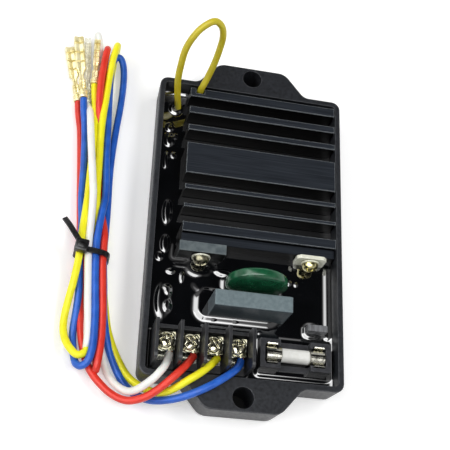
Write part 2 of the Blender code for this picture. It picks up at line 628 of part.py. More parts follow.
def build_disc(varnish):
    levels = (
        (0.0, DISC_EDGE_ROUND),
        (DISC_EDGE_ROUND * 0.3, DISC_EDGE_ROUND * 0.3),
        (DISC_EDGE_ROUND, 0.0),
        (DISC_THICKNESS - DISC_EDGE_ROUND, 0.0),
        (DISC_THICKNESS - DISC_EDGE_ROUND * 0.3, DISC_EDGE_ROUND * 0.3),
        (DISC_THICKNESS, DISC_EDGE_ROUND),
    )
    centre_x = HEAT_SINK_LEFT + DISC_OFFSET
    loops = []
    for depth, inset in levels:
        loop = []
        for step in range(DISC_STEPS):
            angle = 2 * math.pi * (step + 0.5) / DISC_STEPS
            height = DISC_CENTRE_HEIGHT + (DISC_RADIUS - inset) * math.sin(angle)
            loop.append((centre_x + (DISC_RADIUS - inset) * math.cos(angle), DISC_FAR - depth, max(height, SEAT)))
        loops.append(loop)
    mesh = loft("varistor_disc", loops)
    mesh.shade_smooth()
    mesh.set_sharp_from_angle(angle=math.radians(50))
    add("varistor_disc", mesh, varnish)


def build_capacitors(shell, small_shell):
    left = HEAT_SINK_LEFT + CAPACITOR_OFFSET - CAPACITOR_WIDTH / 2
    low = (left, CAPACITOR_NEAR, SEAT)
    high = (left + CAPACITOR_WIDTH, CAPACITOR_FAR, SEAT + CAPACITOR_HEIGHT)
    big = add("film_capacitor", box_mesh("film_capacitor", low, high), shell)
    round_edges(big, CAPACITOR_EDGE)
    right = INNER_X - SMALL_CAPACITOR_SIDE_SPACE
    far = CAPACITOR_NEAR - CLEARANCE
    low = (right - SMALL_CAPACITOR_WIDTH, far - SMALL_CAPACITOR_THICKNESS, SEAT)
    high = (right, far, SEAT + SMALL_CAPACITOR_HEIGHT)
    small = add("small_capacitor", box_mesh("small_capacitor", low, high), small_shell)
    round_edges(small, SMALL_CAPACITOR_EDGE)


def pole_x(index):
    return TERMINAL_LEFT + BARRIER_THICKNESS / 2 + POLE_PITCH * (index + 0.5)


def build_terminal_block(plastic):
    top = POLE_FLOOR + BARRIER_HEIGHT
    nose = BARRIER_NOSE_ROUND
    side = filleted([
        (TERMINAL_FAR, SEAT, CLEARANCE),
        (TERMINAL_NEAR, SEAT, CLEARANCE),
        (TERMINAL_NEAR, top, nose),
        (TERMINAL_FAR, top, nose / 3),
    ], steps=3)
    mesh = extruded_mesh("terminal_block", side, TERMINAL_LEFT, TERMINAL_LEFT + TERMINAL_WIDTH)
    block = add("terminal_block", mesh, plastic)
    back_top = SEAT + TERMINAL_BACK_HEIGHT
    back_face = TERMINAL_FAR - TERMINAL_BACK_WALL
    beyond = TERMINAL_DEPTH / 2
    opening = [
        (TERMINAL_FAR + beyond, back_top), (TERMINAL_FAR + beyond, top + beyond),
        (TERMINAL_NEAR - beyond, top + beyond), (TERMINAL_NEAR - beyond, POLE_FLOOR),
        (back_face, POLE_FLOOR), (back_face, back_top),
    ]
    half = (POLE_PITCH - BARRIER_THICKNESS) / 2
    pole = extruded_mesh("pole_opening", opening, -half, half)
    depth = POLE_HEAD_BOTTOM - POLE_SCREW_LENGTH - CLEARANCE
    well = turned_mesh("pole_well", [(POLE_HOLE_RADIUS, depth), (POLE_HOLE_RADIUS, top)], SCREW_STEPS)
    for index in range(POLE_COUNT):
        number = str(index + 1)
        cut(block, cutter("pole_opening_" + number, pole, (pole_x(index), 0, 0)))
        cut(block, cutter("pole_well_" + number, well, (pole_x(index), POLE_SCREW_Y, 0)))


def drilled_plate(name, low, high, material):
    plate = add(name, box_mesh(name, low, high), material)
    middle = (low[0] + high[0]) / 2
    bore = turned_mesh(name + "_bore", [(POLE_HOLE_RADIUS, 0.0), (POLE_HOLE_RADIUS, 2 * high[2])], SCREW_STEPS)
    cut(plate, cutter(name + "_bore", bore, (middle, POLE_SCREW_Y, 0)))


def build_poles(plate_tin, clamp_tin, steel, copper):
    screw = screw_mesh(
        "pole_screw", steel, POLE_SCREW_HEAD_RADIUS, POLE_SCREW_HEAD_HEIGHT,
        POLE_SCREW_SHANK_RADIUS, POLE_SCREW_LENGTH,
    )
    clamp_near = POLE_SCREW_Y - CLAMP_FRONT_REACH
    core_start = clamp_near - CLEARANCE
    core_end = POLE_SCREW_Y + CLAMP_BACK_REACH
    core = turned_mesh("lead_core", [(CORE_RADIUS, 0.0), (CORE_RADIUS, core_end - core_start)], 10)
    core_shift = POLE_SCREW_SHANK_RADIUS + CLEARANCE + CORE_RADIUS
    for index in range(POLE_COUNT):
        number = str(index + 1)
        x = pole_x(index)
        drilled_plate(
            "terminal_plate_" + number,
            (x - PLATE_WIDTH / 2, TERMINAL_NEAR + PLATE_FRONT_SETBACK, PLATE_BOTTOM),
            (x + PLATE_WIDTH / 2, TERMINAL_FAR - TERMINAL_BACK_WALL - CLEARANCE, PLATE_TOP),
            plate_tin,
        )
        drilled_plate(
            "clamp_plate_" + number,
            (x - CLAMP_WIDTH / 2, clamp_near, CLAMP_BOTTOM),
            (x + CLAMP_WIDTH / 2, POLE_SCREW_Y + CLAMP_BACK_REACH, CLAMP_BOTTOM + CLAMP_THICKNESS),
            clamp_tin,
        )
        add("terminal_screw_" + number, screw, steel, (x, POLE_SCREW_Y, POLE_HEAD_BOTTOM))
        place = (x + core_shift, core_start, LEAD_HEIGHT)
        add("lead_core_" + number, core, copper, place, (-math.pi / 2, 0, 0))


def smooth_route(points, steps):
    # Each stretch leaves and arrives along its neighbours' direction, so the line has no corners
    spots = [Vector(point) for point in points]
    line = []
    for index in range(len(spots) - 1):
        start, end = spots[index], spots[index + 1]
        before = spots[index - 1] if index else 2 * start - end
        after = spots[index + 2] if index + 2 < len(spots) else 2 * end - start
        span = (end - start).length
        leaving = (end - before) * (span / ((start - before).length + span))
        arriving = (after - start) * (span / ((after - end).length + span))
        for step in range(steps):
            share = step / steps
            bend = share * share * (3 - 2 * share)
            spot = start.lerp(end, bend)
            spot += leaving * (share * (1 - share) ** 2)
            spot -= arriving * (share * share * (1 - share))
            line.append(spot)
    line.append(spots[-1])
    return line


def add_wire(name, points, radius, steps, material):
    line = smooth_route(points, steps)
    data = bpy.data.curves.new(name, "CURVE")
    data.dimensions = "3D"
    data.bevel_depth = radius
    data.bevel_resolution = 2
    data.use_fill_caps = True
    spline = data.splines.new("POLY")
    spline.points.add(len(line) - 1)
    for spot, place in zip(spline.points, line):
        spot.co = (*place, 1.0)
    data.materials.append(material)
    item = bpy.data.objects.new(name, data)
    bpy.context.scene.collection.objects.link(item)
    return item


def build_leads(insulation):
    start_y = POLE_SCREW_Y - CLAMP_FRONT_REACH - 2 * CLEARANCE
    for index, (colour, *route) in enumerate(LEAD_ROUTES):
        start = (pole_x(index) + LEAD_OFFSET, start_y, LEAD_HEIGHT)
        add_wire(colour + "_lead", [start] + route, LEAD_RADIUS, ROUTE_STEPS, insulation[colour])


def build_bundle(insulation):
    outline = filleted(BUNDLE_CORNERS, steps=3)
    mesh = loft("lead_bundle", [[(x, y, height) for x, y in outline] for height in (0.0, BUNDLE_HEIGHT)])
    bundle = add("lead_bundle", mesh, insulation)
    reach = TIE_WIDTH / 2 + CLEARANCE
    left, right = bundle_sides()
    low = (left - TIE_WIDTH, TIE_Y - reach, -BUNDLE_HEIGHT)
    high = (right + TIE_WIDTH, TIE_Y + reach, TIE_THICKNESS + CLEARANCE)
    cut(bundle, cutter("tie_passage", box_mesh("tie_passage", low, high)))


def bundle_sides():
    # Where the tie's two edges cross the bundle's outline
    outline = filleted(BUNDLE_CORNERS, steps=3)
    crossings = []
    for edge in (TIE_Y - TIE_WIDTH / 2, TIE_Y + TIE_WIDTH / 2):
        for (x, y), (next_x, next_y) in zip(outline, outline[1:] + outline[:1]):
            if (y - edge) * (next_y - edge) < 0:
                crossings.append(x + (next_x - x) * (edge - y) / (next_y - y))
    return min(crossings), max(crossings)


def build_tie(nylon):
    left, right = bundle_sides()
    left, right, top = left - CLEARANCE, right + CLEARANCE, BUNDLE_HEIGHT + CLEARANCE
    wall = TIE_THICKNESS
    rings = []
    for spread, radius in ((wall, TIE_CORNER), (0.0, TIE_CORNER - wall)):
        low, high = wall - spread, top + spread
        rings.append(filleted([
            (left - spread, low, radius), (right + spread, low, radius),
            (right + spread, high, radius), (left - spread, high, radius),
        ], steps=3))
    half = TIE_WIDTH / 2
    band = loft("cable_tie", [[(x, y, z) for x, z in rings[0]] for y in (TIE_Y - half, TIE_Y + half)])
    tie = add("cable_tie", band, nylon)
    beyond = 2 * TIE_WIDTH
    opening = loft("tie_opening", [[(x, y, z) for x, z in rings[1]] for y in (TIE_Y - beyond, TIE_Y + beyond)])
    cut(tie, cutter("tie_opening", opening))
    head_low = (left - wall / 2, TIE_Y - TIE_HEAD_LENGTH / 2, top + wall / 2)
    head_high = (head_low[0] + TIE_HEAD_WIDTH, TIE_Y + TIE_HEAD_LENGTH / 2, top + wall / 2 + TIE_HEAD_HEIGHT)
    cut(tie, cutter("tie_head", box_mesh("tie_head", head_low, head_high)), "UNION")
    tail = box_mesh("tie_tail", (-half, 0.0, -wall / 2), (half, TIE_TAIL_LENGTH, wall / 2))
    root = (head_low[0] + TIE_HEAD_WIDTH / 2, TIE_Y + half, head_high[2] - wall)
    turn = (-math.radians(TIE_TAIL_DROP), 0, math.radians(TIE_TAIL_TURN))
    cut(tie, cutter("tie_tail", tail, root, turn), "UNION")


def connector_mesh(name, length, half_width, half_height):
    # Crimp barrel, neck and blade end along Y; the blade end's section is nearly square
    neck = CRIMP_LENGTH + CRIMP_SHOULDER
    blade = neck + NECK_LENGTH + BLADE_SHOULDER
    stations = (
        (0.0, CRIMP_RADIUS, CRIMP_RADIUS, 1.0),
        (CRIMP_LENGTH, CRIMP_RADIUS, CRIMP_RADIUS, 1.0),
        (neck, NECK_RADIUS, NECK_RADIUS, 1.0),
        (neck + NECK_LENGTH, NECK_RADIUS, NECK_RADIUS, 1.0),
        (blade, half_width, half_height, BLADE_SQUARENESS),
        (length, half_width, half_height, BLADE_SQUARENESS),
    )
    loops = []
    for y, across, high, squareness in stations:
        loop = []
        for step in range(CONNECTOR_STEPS):
            angle = 2 * math.pi * (step + 0.5) / CONNECTOR_STEPS
            x = across * math.copysign(abs(math.cos(angle)) ** squareness, math.cos(angle))
            z = high * math.copysign(abs(math.sin(angle)) ** squareness, math.sin(angle))
            loop.append((x, y, z))
        loops.append(loop)
    return loft(name, loops)


def build_connectors(brass):
    for colour, (start_x, start_y), (end_x, end_y), height, half_width, half_height in CONNECTORS:
        name = colour + "_connector"
        length = math.hypot(end_x - start_x, end_y - start_y)
        turn = -math.atan2(end_x - start_x, end_y - start_y)
        mesh = connector_mesh(name, length, half_width, half_height)
        add(name, mesh, brass, (start_x, start_y, height), (0, 0, turn))


def build_fuse_holder(plastic):
    left, right = HOLDER_LEFT, HOLDER_LEFT + HOLDER_LENGTH
    near, far = FUSE_Y - HOLDER_HALF_DEPTH, FUSE_Y + HOLDER_HALF_DEPTH
    holder = add("fuse_holder", box_mesh("fuse_holder", (left, near, SEAT), (right, far, HOLDER_TOP_HEIGHT)), plastic)
    above = 2 * HOLDER_TOP_HEIGHT
    floor = SEAT + HOLDER_FLOOR
    block_end = HOLDER_BLOCK_LENGTH
    gap_low = (left + block_end, near - HOLDER_SIDE_WALL, HOLDER_RAIL_HEIGHT)
    gap_high = (right - block_end, far + HOLDER_SIDE_WALL, above)
    cut(holder, cutter("holder_middle", box_mesh("holder_middle", gap_low, gap_high)))
    trough_low = (left + HOLDER_END_WALL, FUSE_Y - TROUGH_HALF_WIDTH, floor)
    trough_high = (right - HOLDER_END_WALL, FUSE_Y + TROUGH_HALF_WIDTH, above)
    cut(holder, cutter("holder_trough", box_mesh("holder_trough", trough_low, trough_high)))
    half = CLIP_OUTER_RADIUS + CLEARANCE
    for name, middle in clip_places():
        reach = CLIP_WIDTH / 2 + CLEARANCE
        slot_low = (middle - reach, FUSE_Y - half, floor)
        slot_high = (middle + reach, FUSE_Y + half, above)
        cut(holder, cutter(name + "_slot", box_mesh(name + "_slot", slot_low, slot_high)))


def clip_places():
    offset = HOLDER_LENGTH / 2 - HOLDER_END_WALL - CLIP_END_OFFSET - CLIP_WIDTH / 2
    return (("fuse_clip_left", FUSE_CENTRE_X - offset), ("fuse_clip_right", FUSE_CENTRE_X + offset))


def clip_outline():
    # A spring strip bent round the lower half of the cap, its two tips standing up and out
    start, sweep, steps = math.radians(160), math.radians(220), 12
    angles = [start + sweep * step / steps for step in range(steps + 1)]
    sides = []
    for radius in (CLIP_INNER_RADIUS, CLIP_OUTER_RADIUS):
        arc = [(radius * math.cos(angle), radius * math.sin(angle)) for angle in angles]
        tip_y, tip_z = arc[-1][0] + CLIP_TIP_FLARE, arc[-1][1] + CLIP_TIP_RISE
        sides.append([(-tip_y, tip_z)] + arc + [(tip_y, tip_z)])
    return sides[0] + list(reversed(sides[1]))


def build_fuse(ceramic, nickel, spring):
    half = FUSE_LENGTH / 2
    neck = FUSE_CAP_RADIUS - FUSE_CAP_WALL - CLEARANCE
    neck_end = half - FUSE_CAP_WALL - CLEARANCE
    shoulder = half - FUSE_CAP_LENGTH - CLEARANCE
    profile = [
        (neck, -neck_end), (neck, -shoulder), (FUSE_TUBE_RADIUS, -shoulder),
        (FUSE_TUBE_RADIUS, shoulder), (neck, shoulder), (neck, neck_end),
    ]
    along = (0, math.pi / 2, 0)
    place = (FUSE_CENTRE_X, FUSE_Y, FUSE_AXIS_HEIGHT)
    add("fuse_tube", turned_mesh("fuse_tube", profile, FUSE_STEPS), ceramic, place, along)
    edge = FUSE_CAP_WALL * 0.8
    bore = FUSE_CAP_RADIUS - FUSE_CAP_WALL
    profile = [
        (bore, half - FUSE_CAP_WALL), (bore, half - FUSE_CAP_LENGTH), (FUSE_CAP_RADIUS, half - FUSE_CAP_LENGTH),
        (FUSE_CAP_RADIUS, half - edge), (FUSE_CAP_RADIUS - edge, half),
    ]
    cap = turned_mesh("fuse_cap", profile, FUSE_STEPS)
    add("fuse_cap_right", cap, nickel, place, along)
    add("fuse_cap_left", cap, nickel, place, (0, -math.pi / 2, 0))
    mesh = extruded_mesh("fuse_clip", clip_outline(), -CLIP_WIDTH / 2, CLIP_WIDTH / 2)
    for name, middle in clip_places():
        add(name, mesh, spring, (middle, FUSE_Y, FUSE_AXIS_HEIGHT))


def main():
    clear_scene()
    case_plastic = look("case_plastic", (0.022, 0.023, 0.025), 0.38)
    build_tray(case_plastic)
    build_board_and_resin(
        look("board_laminate", (0.05, 0.16, 0.07), 0.55),
        look("potting_resin", (0.006, 0.006, 0.008), 0.08),
    )
    build_heat_sink(look("black_anodised_aluminium", (0.035, 0.037, 0.04), 0.42, 0.6))
    build_bar_device(look("bare_aluminium", (0.42, 0.44, 0.45), 0.4, 0.8))
    build_tab_device(
        look("tinned_tab", (0.7, 0.69, 0.6), 0.35, 0.8),
        look("black_epoxy", (0.012, 0.012, 0.014), 0.45),
    )
    build_device_fasteners(
        look("zinc_steel", (0.6, 0.57, 0.45), 0.25, 1.0),
        look("bush_nylon", (0.62, 0.61, 0.54), 0.5),
    )
    build_disc(look("disc_varnish", (0.012, 0.1, 0.045), 0.3))
    build_capacitors(
        look("capacitor_shell", (0.16, 0.2, 0.21), 0.45),
        look("small_capacitor_shell", (0.12, 0.12, 0.12), 0.5),
    )
    build_terminal_block(look("terminal_plastic", (0.02, 0.02, 0.022), 0.45))
    build_poles(
        look("terminal_tin", (0.66, 0.66, 0.62), 0.3, 1.0),
        look("clamp_tin", (0.72, 0.72, 0.68), 0.25, 1.0),
        look("screw_nickel", (0.7, 0.7, 0.66), 0.2, 1.0),
        look("copper_strand", (0.75, 0.5, 0.3), 0.35, 1.0),
    )
    insulation = {
        "white": look("white_insulation", (0.86, 0.86, 0.83), 0.35),
        "red": look("red_insulation", (0.62, 0.04, 0.025), 0.35),
        "yellow": look("yellow_insulation", (0.85, 0.75, 0.03), 0.35),
        "blue": look("blue_insulation", (0.02, 0.09, 0.5), 0.35),
    }
    build_leads(insulation)
    build_bundle(insulation["blue"])
    build_tie(look("tie_nylon", (0.015, 0.015, 0.017), 0.45))
    build_connectors(look("connector_brass", (0.75, 0.6, 0.25), 0.25, 1.0))
    jumper = look("jumper_insulation", (0.55, 0.48, 0.03), 0.4)
    add_wire("jumper", JUMPER_RISE, JUMPER_RADIUS, ROUTE_STEPS, jumper)
    build_fuse_holder(look("holder_plastic", (0.05, 0.05, 0.055), 0.5))
    build_fuse(
        look("fuse_ceramic", (0.85, 0.85, 0.8), 0.25),
        look("cap_nickel", (0.72, 0.7, 0.6), 0.2, 1.0),
        look("clip_bronze", (0.7, 0.68, 0.62), 0.3, 1.0),
    )


main()
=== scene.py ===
import math

import bmesh
import bpy
from mathutils import Matrix, Vector


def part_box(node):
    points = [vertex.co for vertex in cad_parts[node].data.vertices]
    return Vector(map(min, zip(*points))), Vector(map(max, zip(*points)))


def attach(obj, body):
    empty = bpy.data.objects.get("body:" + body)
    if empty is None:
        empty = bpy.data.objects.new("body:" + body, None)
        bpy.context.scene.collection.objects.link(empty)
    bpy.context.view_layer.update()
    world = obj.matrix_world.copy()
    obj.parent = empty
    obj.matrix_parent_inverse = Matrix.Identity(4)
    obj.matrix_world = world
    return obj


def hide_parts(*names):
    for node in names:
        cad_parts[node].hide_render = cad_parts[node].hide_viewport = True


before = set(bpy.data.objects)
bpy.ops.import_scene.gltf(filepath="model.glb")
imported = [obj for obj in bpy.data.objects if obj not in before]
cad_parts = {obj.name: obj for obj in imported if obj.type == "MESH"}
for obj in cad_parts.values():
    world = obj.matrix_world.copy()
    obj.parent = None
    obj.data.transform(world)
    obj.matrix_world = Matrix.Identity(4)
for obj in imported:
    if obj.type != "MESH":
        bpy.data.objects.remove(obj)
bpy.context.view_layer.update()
bodyName = "root"

# Metres throughout; X runs across the case and +Y towards the far ear.

camera = {
    "place": (-0.066576, -0.133392, 0.294291),
    "right": (0.97496552, 0.03634293, 0.21936598),
    "up": (-0.12408344, 0.90758082, 0.40112387),
    "lens": 75.05,
    "sensor": 36.0,
    "sees": (0.01, 20),      # nearest and farthest
}


def setCamera():
    right = Vector(camera["right"]).normalized()
    up = Vector(camera["up"]).normalized()
    back = right.cross(up)
    data = bpy.data.cameras.new("viewCamera")
    data.lens = camera["lens"]
    data.sensor_width = camera["sensor"]
    data.clip_start, data.clip_end = camera["sees"]
    item = bpy.data.objects.new("viewCamera", data)
    bpy.context.scene.collection.objects.link(item)
    turn = Matrix((right, up, back)).transposed()
    item.matrix_world = Matrix.Translation(camera["place"]) @ turn.to_4x4()
    bpy.context.scene.camera = item
    print("camera set")


# Routes in metres, from each terminal to its connector: up along the tray, back, and up again.
leadRoutes = {
    "white": (
        (-0.0241, -0.0473, 0.01135), (-0.0245, -0.0487, 0.0124), (-0.0256, -0.0517, 0.0137),
        (-0.0271, -0.0540, 0.0141), (-0.0290, -0.0562, 0.0133), (-0.0311, -0.0578, 0.0114),
        (-0.0333, -0.0590, 0.0089), (-0.0356, -0.0592, 0.0066), (-0.0382, -0.0579, 0.0049),
        (-0.0406, -0.0555, 0.0032), (-0.0424, -0.0527, 0.0019), (-0.0442, -0.0475, 0.00135),
        (-0.0458, -0.0410, 0.00135), (-0.0474, -0.0333, 0.00135), (-0.0490, -0.0220, 0.00135),
        (-0.0499, -0.0125, 0.00135), (-0.0510, 0.0060, 0.00135), (-0.0524, 0.0200, 0.00135),
        (-0.0532, 0.0350, 0.00135), (-0.0534, 0.0480, 0.00135), (-0.0542, 0.0580, 0.0016),
        (-0.0554, 0.0660, 0.0028), (-0.0563, 0.0708, 0.0042), (-0.0569, 0.0730, 0.0044),
        (-0.0571, 0.0739, 0.0032), (-0.0570, 0.0728, 0.0019), (-0.0565, 0.0690, 0.00135),
        (-0.0559, 0.0600, 0.00135), (-0.0556, 0.0480, 0.00135), (-0.0552, 0.0335, 0.00135),
        (-0.0546, 0.0190, 0.00135), (-0.0538, 0.0060, 0.00135), (-0.0526, -0.0125, 0.00135),
        (-0.0514, -0.0220, 0.0020), (-0.0504, -0.0330, 0.0036), (-0.0500, -0.0410, 0.0037),
        (-0.0498, -0.0445, 0.0039), (-0.0498, -0.0457, 0.0050), (-0.0498, -0.0445, 0.0061),
        (-0.0499, -0.0400, 0.0064), (-0.0507, -0.0333, 0.0066), (-0.0515, -0.0246, 0.0069),
        (-0.0522, -0.0165, 0.0070), (-0.0526, -0.0109, 0.0070), (-0.0526, -0.0030, 0.0076),
        (-0.0529, 0.0060, 0.0092), (-0.0538, 0.0130, 0.0094), (-0.0546, 0.0190, 0.0092),
        (-0.0556, 0.0270, 0.0088), (-0.0563, 0.0335, 0.0078), (-0.0568, 0.0390, 0.0056),
        (-0.0574, 0.0425, 0.0032), (-0.0579, 0.0451, 0.0017),
    ),
    "red": (
        (-0.0164, -0.0473, 0.01135), (-0.0175, -0.0489, 0.0126), (-0.0193, -0.0514, 0.0138),
        (-0.0217, -0.0541, 0.0141), (-0.0243, -0.0567, 0.0134), (-0.0270, -0.0590, 0.0116),
        (-0.0300, -0.0609, 0.0096), (-0.0328, -0.0618, 0.0078), (-0.0357, -0.0620, 0.0062),
        (-0.0387, -0.0610, 0.0050), (-0.0417, -0.0592, 0.0044), (-0.0444, -0.0569, 0.0042),
        (-0.0464, -0.0548, 0.0040), (-0.0482, -0.0523, 0.0038), (-0.0496, -0.0494, 0.0036),
        (-0.0507, -0.0460, 0.0035), (-0.0517, -0.0416, 0.0032), (-0.0528, -0.0333, 0.0030),
        (-0.0531, -0.0260, 0.0032), (-0.0529, -0.0180, 0.0039), (-0.0526, -0.0109, 0.00415),
        (-0.0534, 0.0060, 0.0041), (-0.0536, 0.0190, 0.0040), (-0.0532, 0.0300, 0.0040),
        (-0.0533, 0.0370, 0.0052), (-0.0540, 0.0430, 0.0064), (-0.0542, 0.0480, 0.0068),
        (-0.0541, 0.0540, 0.0069), (-0.0537, 0.0610, 0.0069), (-0.0533, 0.0648, 0.0069),
        (-0.0531, 0.0664, 0.0062), (-0.0531, 0.0669, 0.0052), (-0.0532, 0.0661, 0.0042),
        (-0.0534, 0.0635, 0.0039), (-0.0536, 0.0570, 0.0041), (-0.0532, 0.0500, 0.0041),
        (-0.0518, 0.0410, 0.0041), (-0.0506, 0.0335, 0.0041), (-0.0508, 0.0190, 0.0041),
        (-0.0503, 0.0070, 0.0041), (-0.0492, 0.0010, 0.0044), (-0.0477, -0.0060, 0.0058),
        (-0.0475, -0.0109, 0.0064), (-0.0474, -0.0165, 0.0066), (-0.0467, -0.0246, 0.0069),
        (-0.0459, -0.0333, 0.0068), (-0.0455, -0.0416, 0.0066), (-0.0457, -0.0480, 0.0067),
        (-0.0460, -0.0512, 0.0065), (-0.0461, -0.0526, 0.0056), (-0.0461, -0.0527, 0.0043),
        (-0.0461, -0.0514, 0.0030), (-0.0463, -0.0485, 0.0018), (-0.0476, -0.0440, 0.00135),
        (-0.0502, -0.0370, 0.00135), (-0.0526, -0.0300, 0.00135), (-0.0542, -0.0220, 0.00135),
        (-0.0552, -0.0125, 0.00135), (-0.0557, -0.0030, 0.00135), (-0.0566, 0.0060, 0.00135),
        (-0.0578, 0.0190, 0.00135), (-0.0593, 0.0335, 0.00135), (-0.0606, 0.0400, 0.0014),
        (-0.0613, 0.0451, 0.0016),
    ),
    "yellow": (
        (-0.0087, -0.0473, 0.01135), (-0.0098, -0.0486, 0.0126), (-0.0120, -0.0510, 0.0138),
        (-0.0148, -0.0535, 0.0142), (-0.0181, -0.0558, 0.0138), (-0.0211, -0.0577, 0.0119),
        (-0.0238, -0.0588, 0.0093), (-0.0266, -0.0588, 0.0070), (-0.0292, -0.0578, 0.0050),
        (-0.0318, -0.0563, 0.0034), (-0.0343, -0.0544, 0.0021), (-0.0365, -0.0520, 0.00135),
        (-0.0385, -0.0490, 0.00135), (-0.0403, -0.0457, 0.00135), (-0.0419, -0.0422, 0.00135),
        (-0.0433, -0.0383, 0.00135), (-0.0444, -0.0332, 0.00135), (-0.0459, -0.0246, 0.00135),
        (-0.0470, -0.0165, 0.00135), (-0.0473, -0.0109, 0.00135), (-0.0474, -0.0060, 0.00135),
        (-0.0482, 0.0030, 0.00135), (-0.0490, 0.0190, 0.00135), (-0.0496, 0.0335, 0.00135),
        (-0.0504, 0.0455, 0.00135), (-0.0506, 0.0540, 0.00135), (-0.0504, 0.0600, 0.0014),
        (-0.0500, 0.0655, 0.0022), (-0.0496, 0.0682, 0.0033), (-0.0495, 0.0692, 0.0049),
        (-0.0497, 0.0684, 0.0064), (-0.0502, 0.0655, 0.0071), (-0.0508, 0.0620, 0.0069),
        (-0.0514, 0.0540, 0.0063), (-0.0518, 0.0455, 0.0063), (-0.0523, 0.0335, 0.0067),
        (-0.0519, 0.0190, 0.0069), (-0.0515, 0.0070, 0.0067), (-0.0510, 0.0020, 0.0058),
        (-0.0502, -0.0066, 0.0044), (-0.0500, -0.0109, 0.00415), (-0.0494, -0.0200, 0.0039),
        (-0.0482, -0.0333, 0.0038), (-0.0482, -0.0400, 0.0040), (-0.0486, -0.0435, 0.0044),
        (-0.0494, -0.0462, 0.0052), (-0.0506, -0.0482, 0.0060), (-0.0525, -0.0488, 0.0059),
        (-0.0545, -0.0472, 0.0054), (-0.0563, -0.0444, 0.0042), (-0.0574, -0.0410, 0.0030),
        (-0.0577, -0.0372, 0.0028), (-0.0574, -0.0333, 0.0036), (-0.0568, -0.0290, 0.0048),
        (-0.0561, -0.0246, 0.0060), (-0.0553, -0.0165, 0.0069), (-0.0552, -0.0109, 0.0070),
        (-0.0549, -0.0030, 0.0068), (-0.0545, 0.0060, 0.0064), (-0.0545, 0.0130, 0.0061),
        (-0.0545, 0.0190, 0.0060), (-0.0544, 0.0260, 0.0059), (-0.0544, 0.0335, 0.0054),
        (-0.0548, 0.0400, 0.0045), (-0.0557, 0.0460, 0.0045), (-0.0563, 0.0514, 0.0046),
    ),
    "blue": (
        (-0.0010, -0.0473, 0.01135), (-0.0018, -0.0494, 0.0126), (-0.0042, -0.0520, 0.0138),
        (-0.0074, -0.0545, 0.0142), (-0.0113, -0.0571, 0.0142), (-0.0153, -0.0592, 0.0135),
        (-0.0199, -0.0608, 0.0110), (-0.0246, -0.0613, 0.0076), (-0.0282, -0.0609, 0.0049),
        (-0.0313, -0.0597, 0.0030), (-0.0342, -0.0579, 0.0018), (-0.0367, -0.0555, 0.00135),
        (-0.0390, -0.0521, 0.00135), (-0.0409, -0.0482, 0.00135), (-0.0426, -0.0442, 0.0018),
        (-0.0440, -0.0400, 0.0031), (-0.0453, -0.0333, 0.0039), (-0.0461, -0.0246, 0.0041),
        (-0.0469, -0.0165, 0.0039), (-0.0472, -0.0109, 0.0038), (-0.0472, -0.0060, 0.0038),
        (-0.0473, 0.0030, 0.0036), (-0.0477, 0.0190, 0.0032), (-0.0471, 0.0335, 0.0026),
        (-0.0462, 0.0455, 0.0022), (-0.0459, 0.0540, 0.0022), (-0.0462, 0.0600, 0.0026),
        (-0.0470, 0.0636, 0.0032), (-0.0482, 0.0653, 0.0036), (-0.0497, 0.0647, 0.0037),
        (-0.0508, 0.0615, 0.0038), (-0.0509, 0.0560, 0.0039), (-0.0505, 0.0455, 0.0040),
        (-0.0500, 0.0335, 0.0052), (-0.0494, 0.0190, 0.0062), (-0.0486, 0.0070, 0.0064),
        (-0.0492, 0.0010, 0.0069), (-0.0498, -0.0066, 0.0070), (-0.0500, -0.0109, 0.0070),
        (-0.0498, -0.0165, 0.0070), (-0.0492, -0.0246, 0.0070), (-0.0483, -0.0333, 0.0070),
        (-0.0480, -0.0398, 0.0072), (-0.0479, -0.0450, 0.0072), (-0.0484, -0.0487, 0.0070),
        (-0.0490, -0.0506, 0.0066), (-0.0501, -0.0518, 0.0058), (-0.0514, -0.0520, 0.0048),
        (-0.0526, -0.0508, 0.0036), (-0.0534, -0.0482, 0.0027), (-0.0540, -0.0447, 0.0021),
        (-0.0544, -0.0408, 0.0020), (-0.0541, -0.0333, 0.0036), (-0.0540, -0.0270, 0.0044),
        (-0.0546, -0.0180, 0.0044), (-0.0552, -0.0109, 0.00415), (-0.0554, -0.0030, 0.00415),
        (-0.0564, 0.0060, 0.00415), (-0.0569, 0.0190, 0.00415), (-0.0580, 0.0335, 0.0042),
        (-0.0590, 0.0400, 0.0045), (-0.0596, 0.0451, 0.0046),
    ),
}
jumperRoute = (
    (-0.0258, 0.0467, 0.0055), (-0.0272, 0.0481, 0.0121), (-0.0282, 0.0500, 0.0181),
    (-0.0284, 0.0522, 0.0246), (-0.0279, 0.0546, 0.0316), (-0.0252, 0.0578, 0.0371),
    (-0.0218, 0.0602, 0.0396), (-0.0194, 0.0613, 0.0396), (-0.0169, 0.0612, 0.0371),
    (-0.0158, 0.0603, 0.0336), (-0.0156, 0.0595, 0.0306), (-0.0162, 0.0566, 0.0231),
    (-0.0176, 0.0535, 0.0165), (-0.0186, 0.0517, 0.0136), (-0.0189, 0.0513, 0.0110),
    (-0.0189, 0.0513, 0.0075), (-0.0189, 0.0513, 0.0036),
)

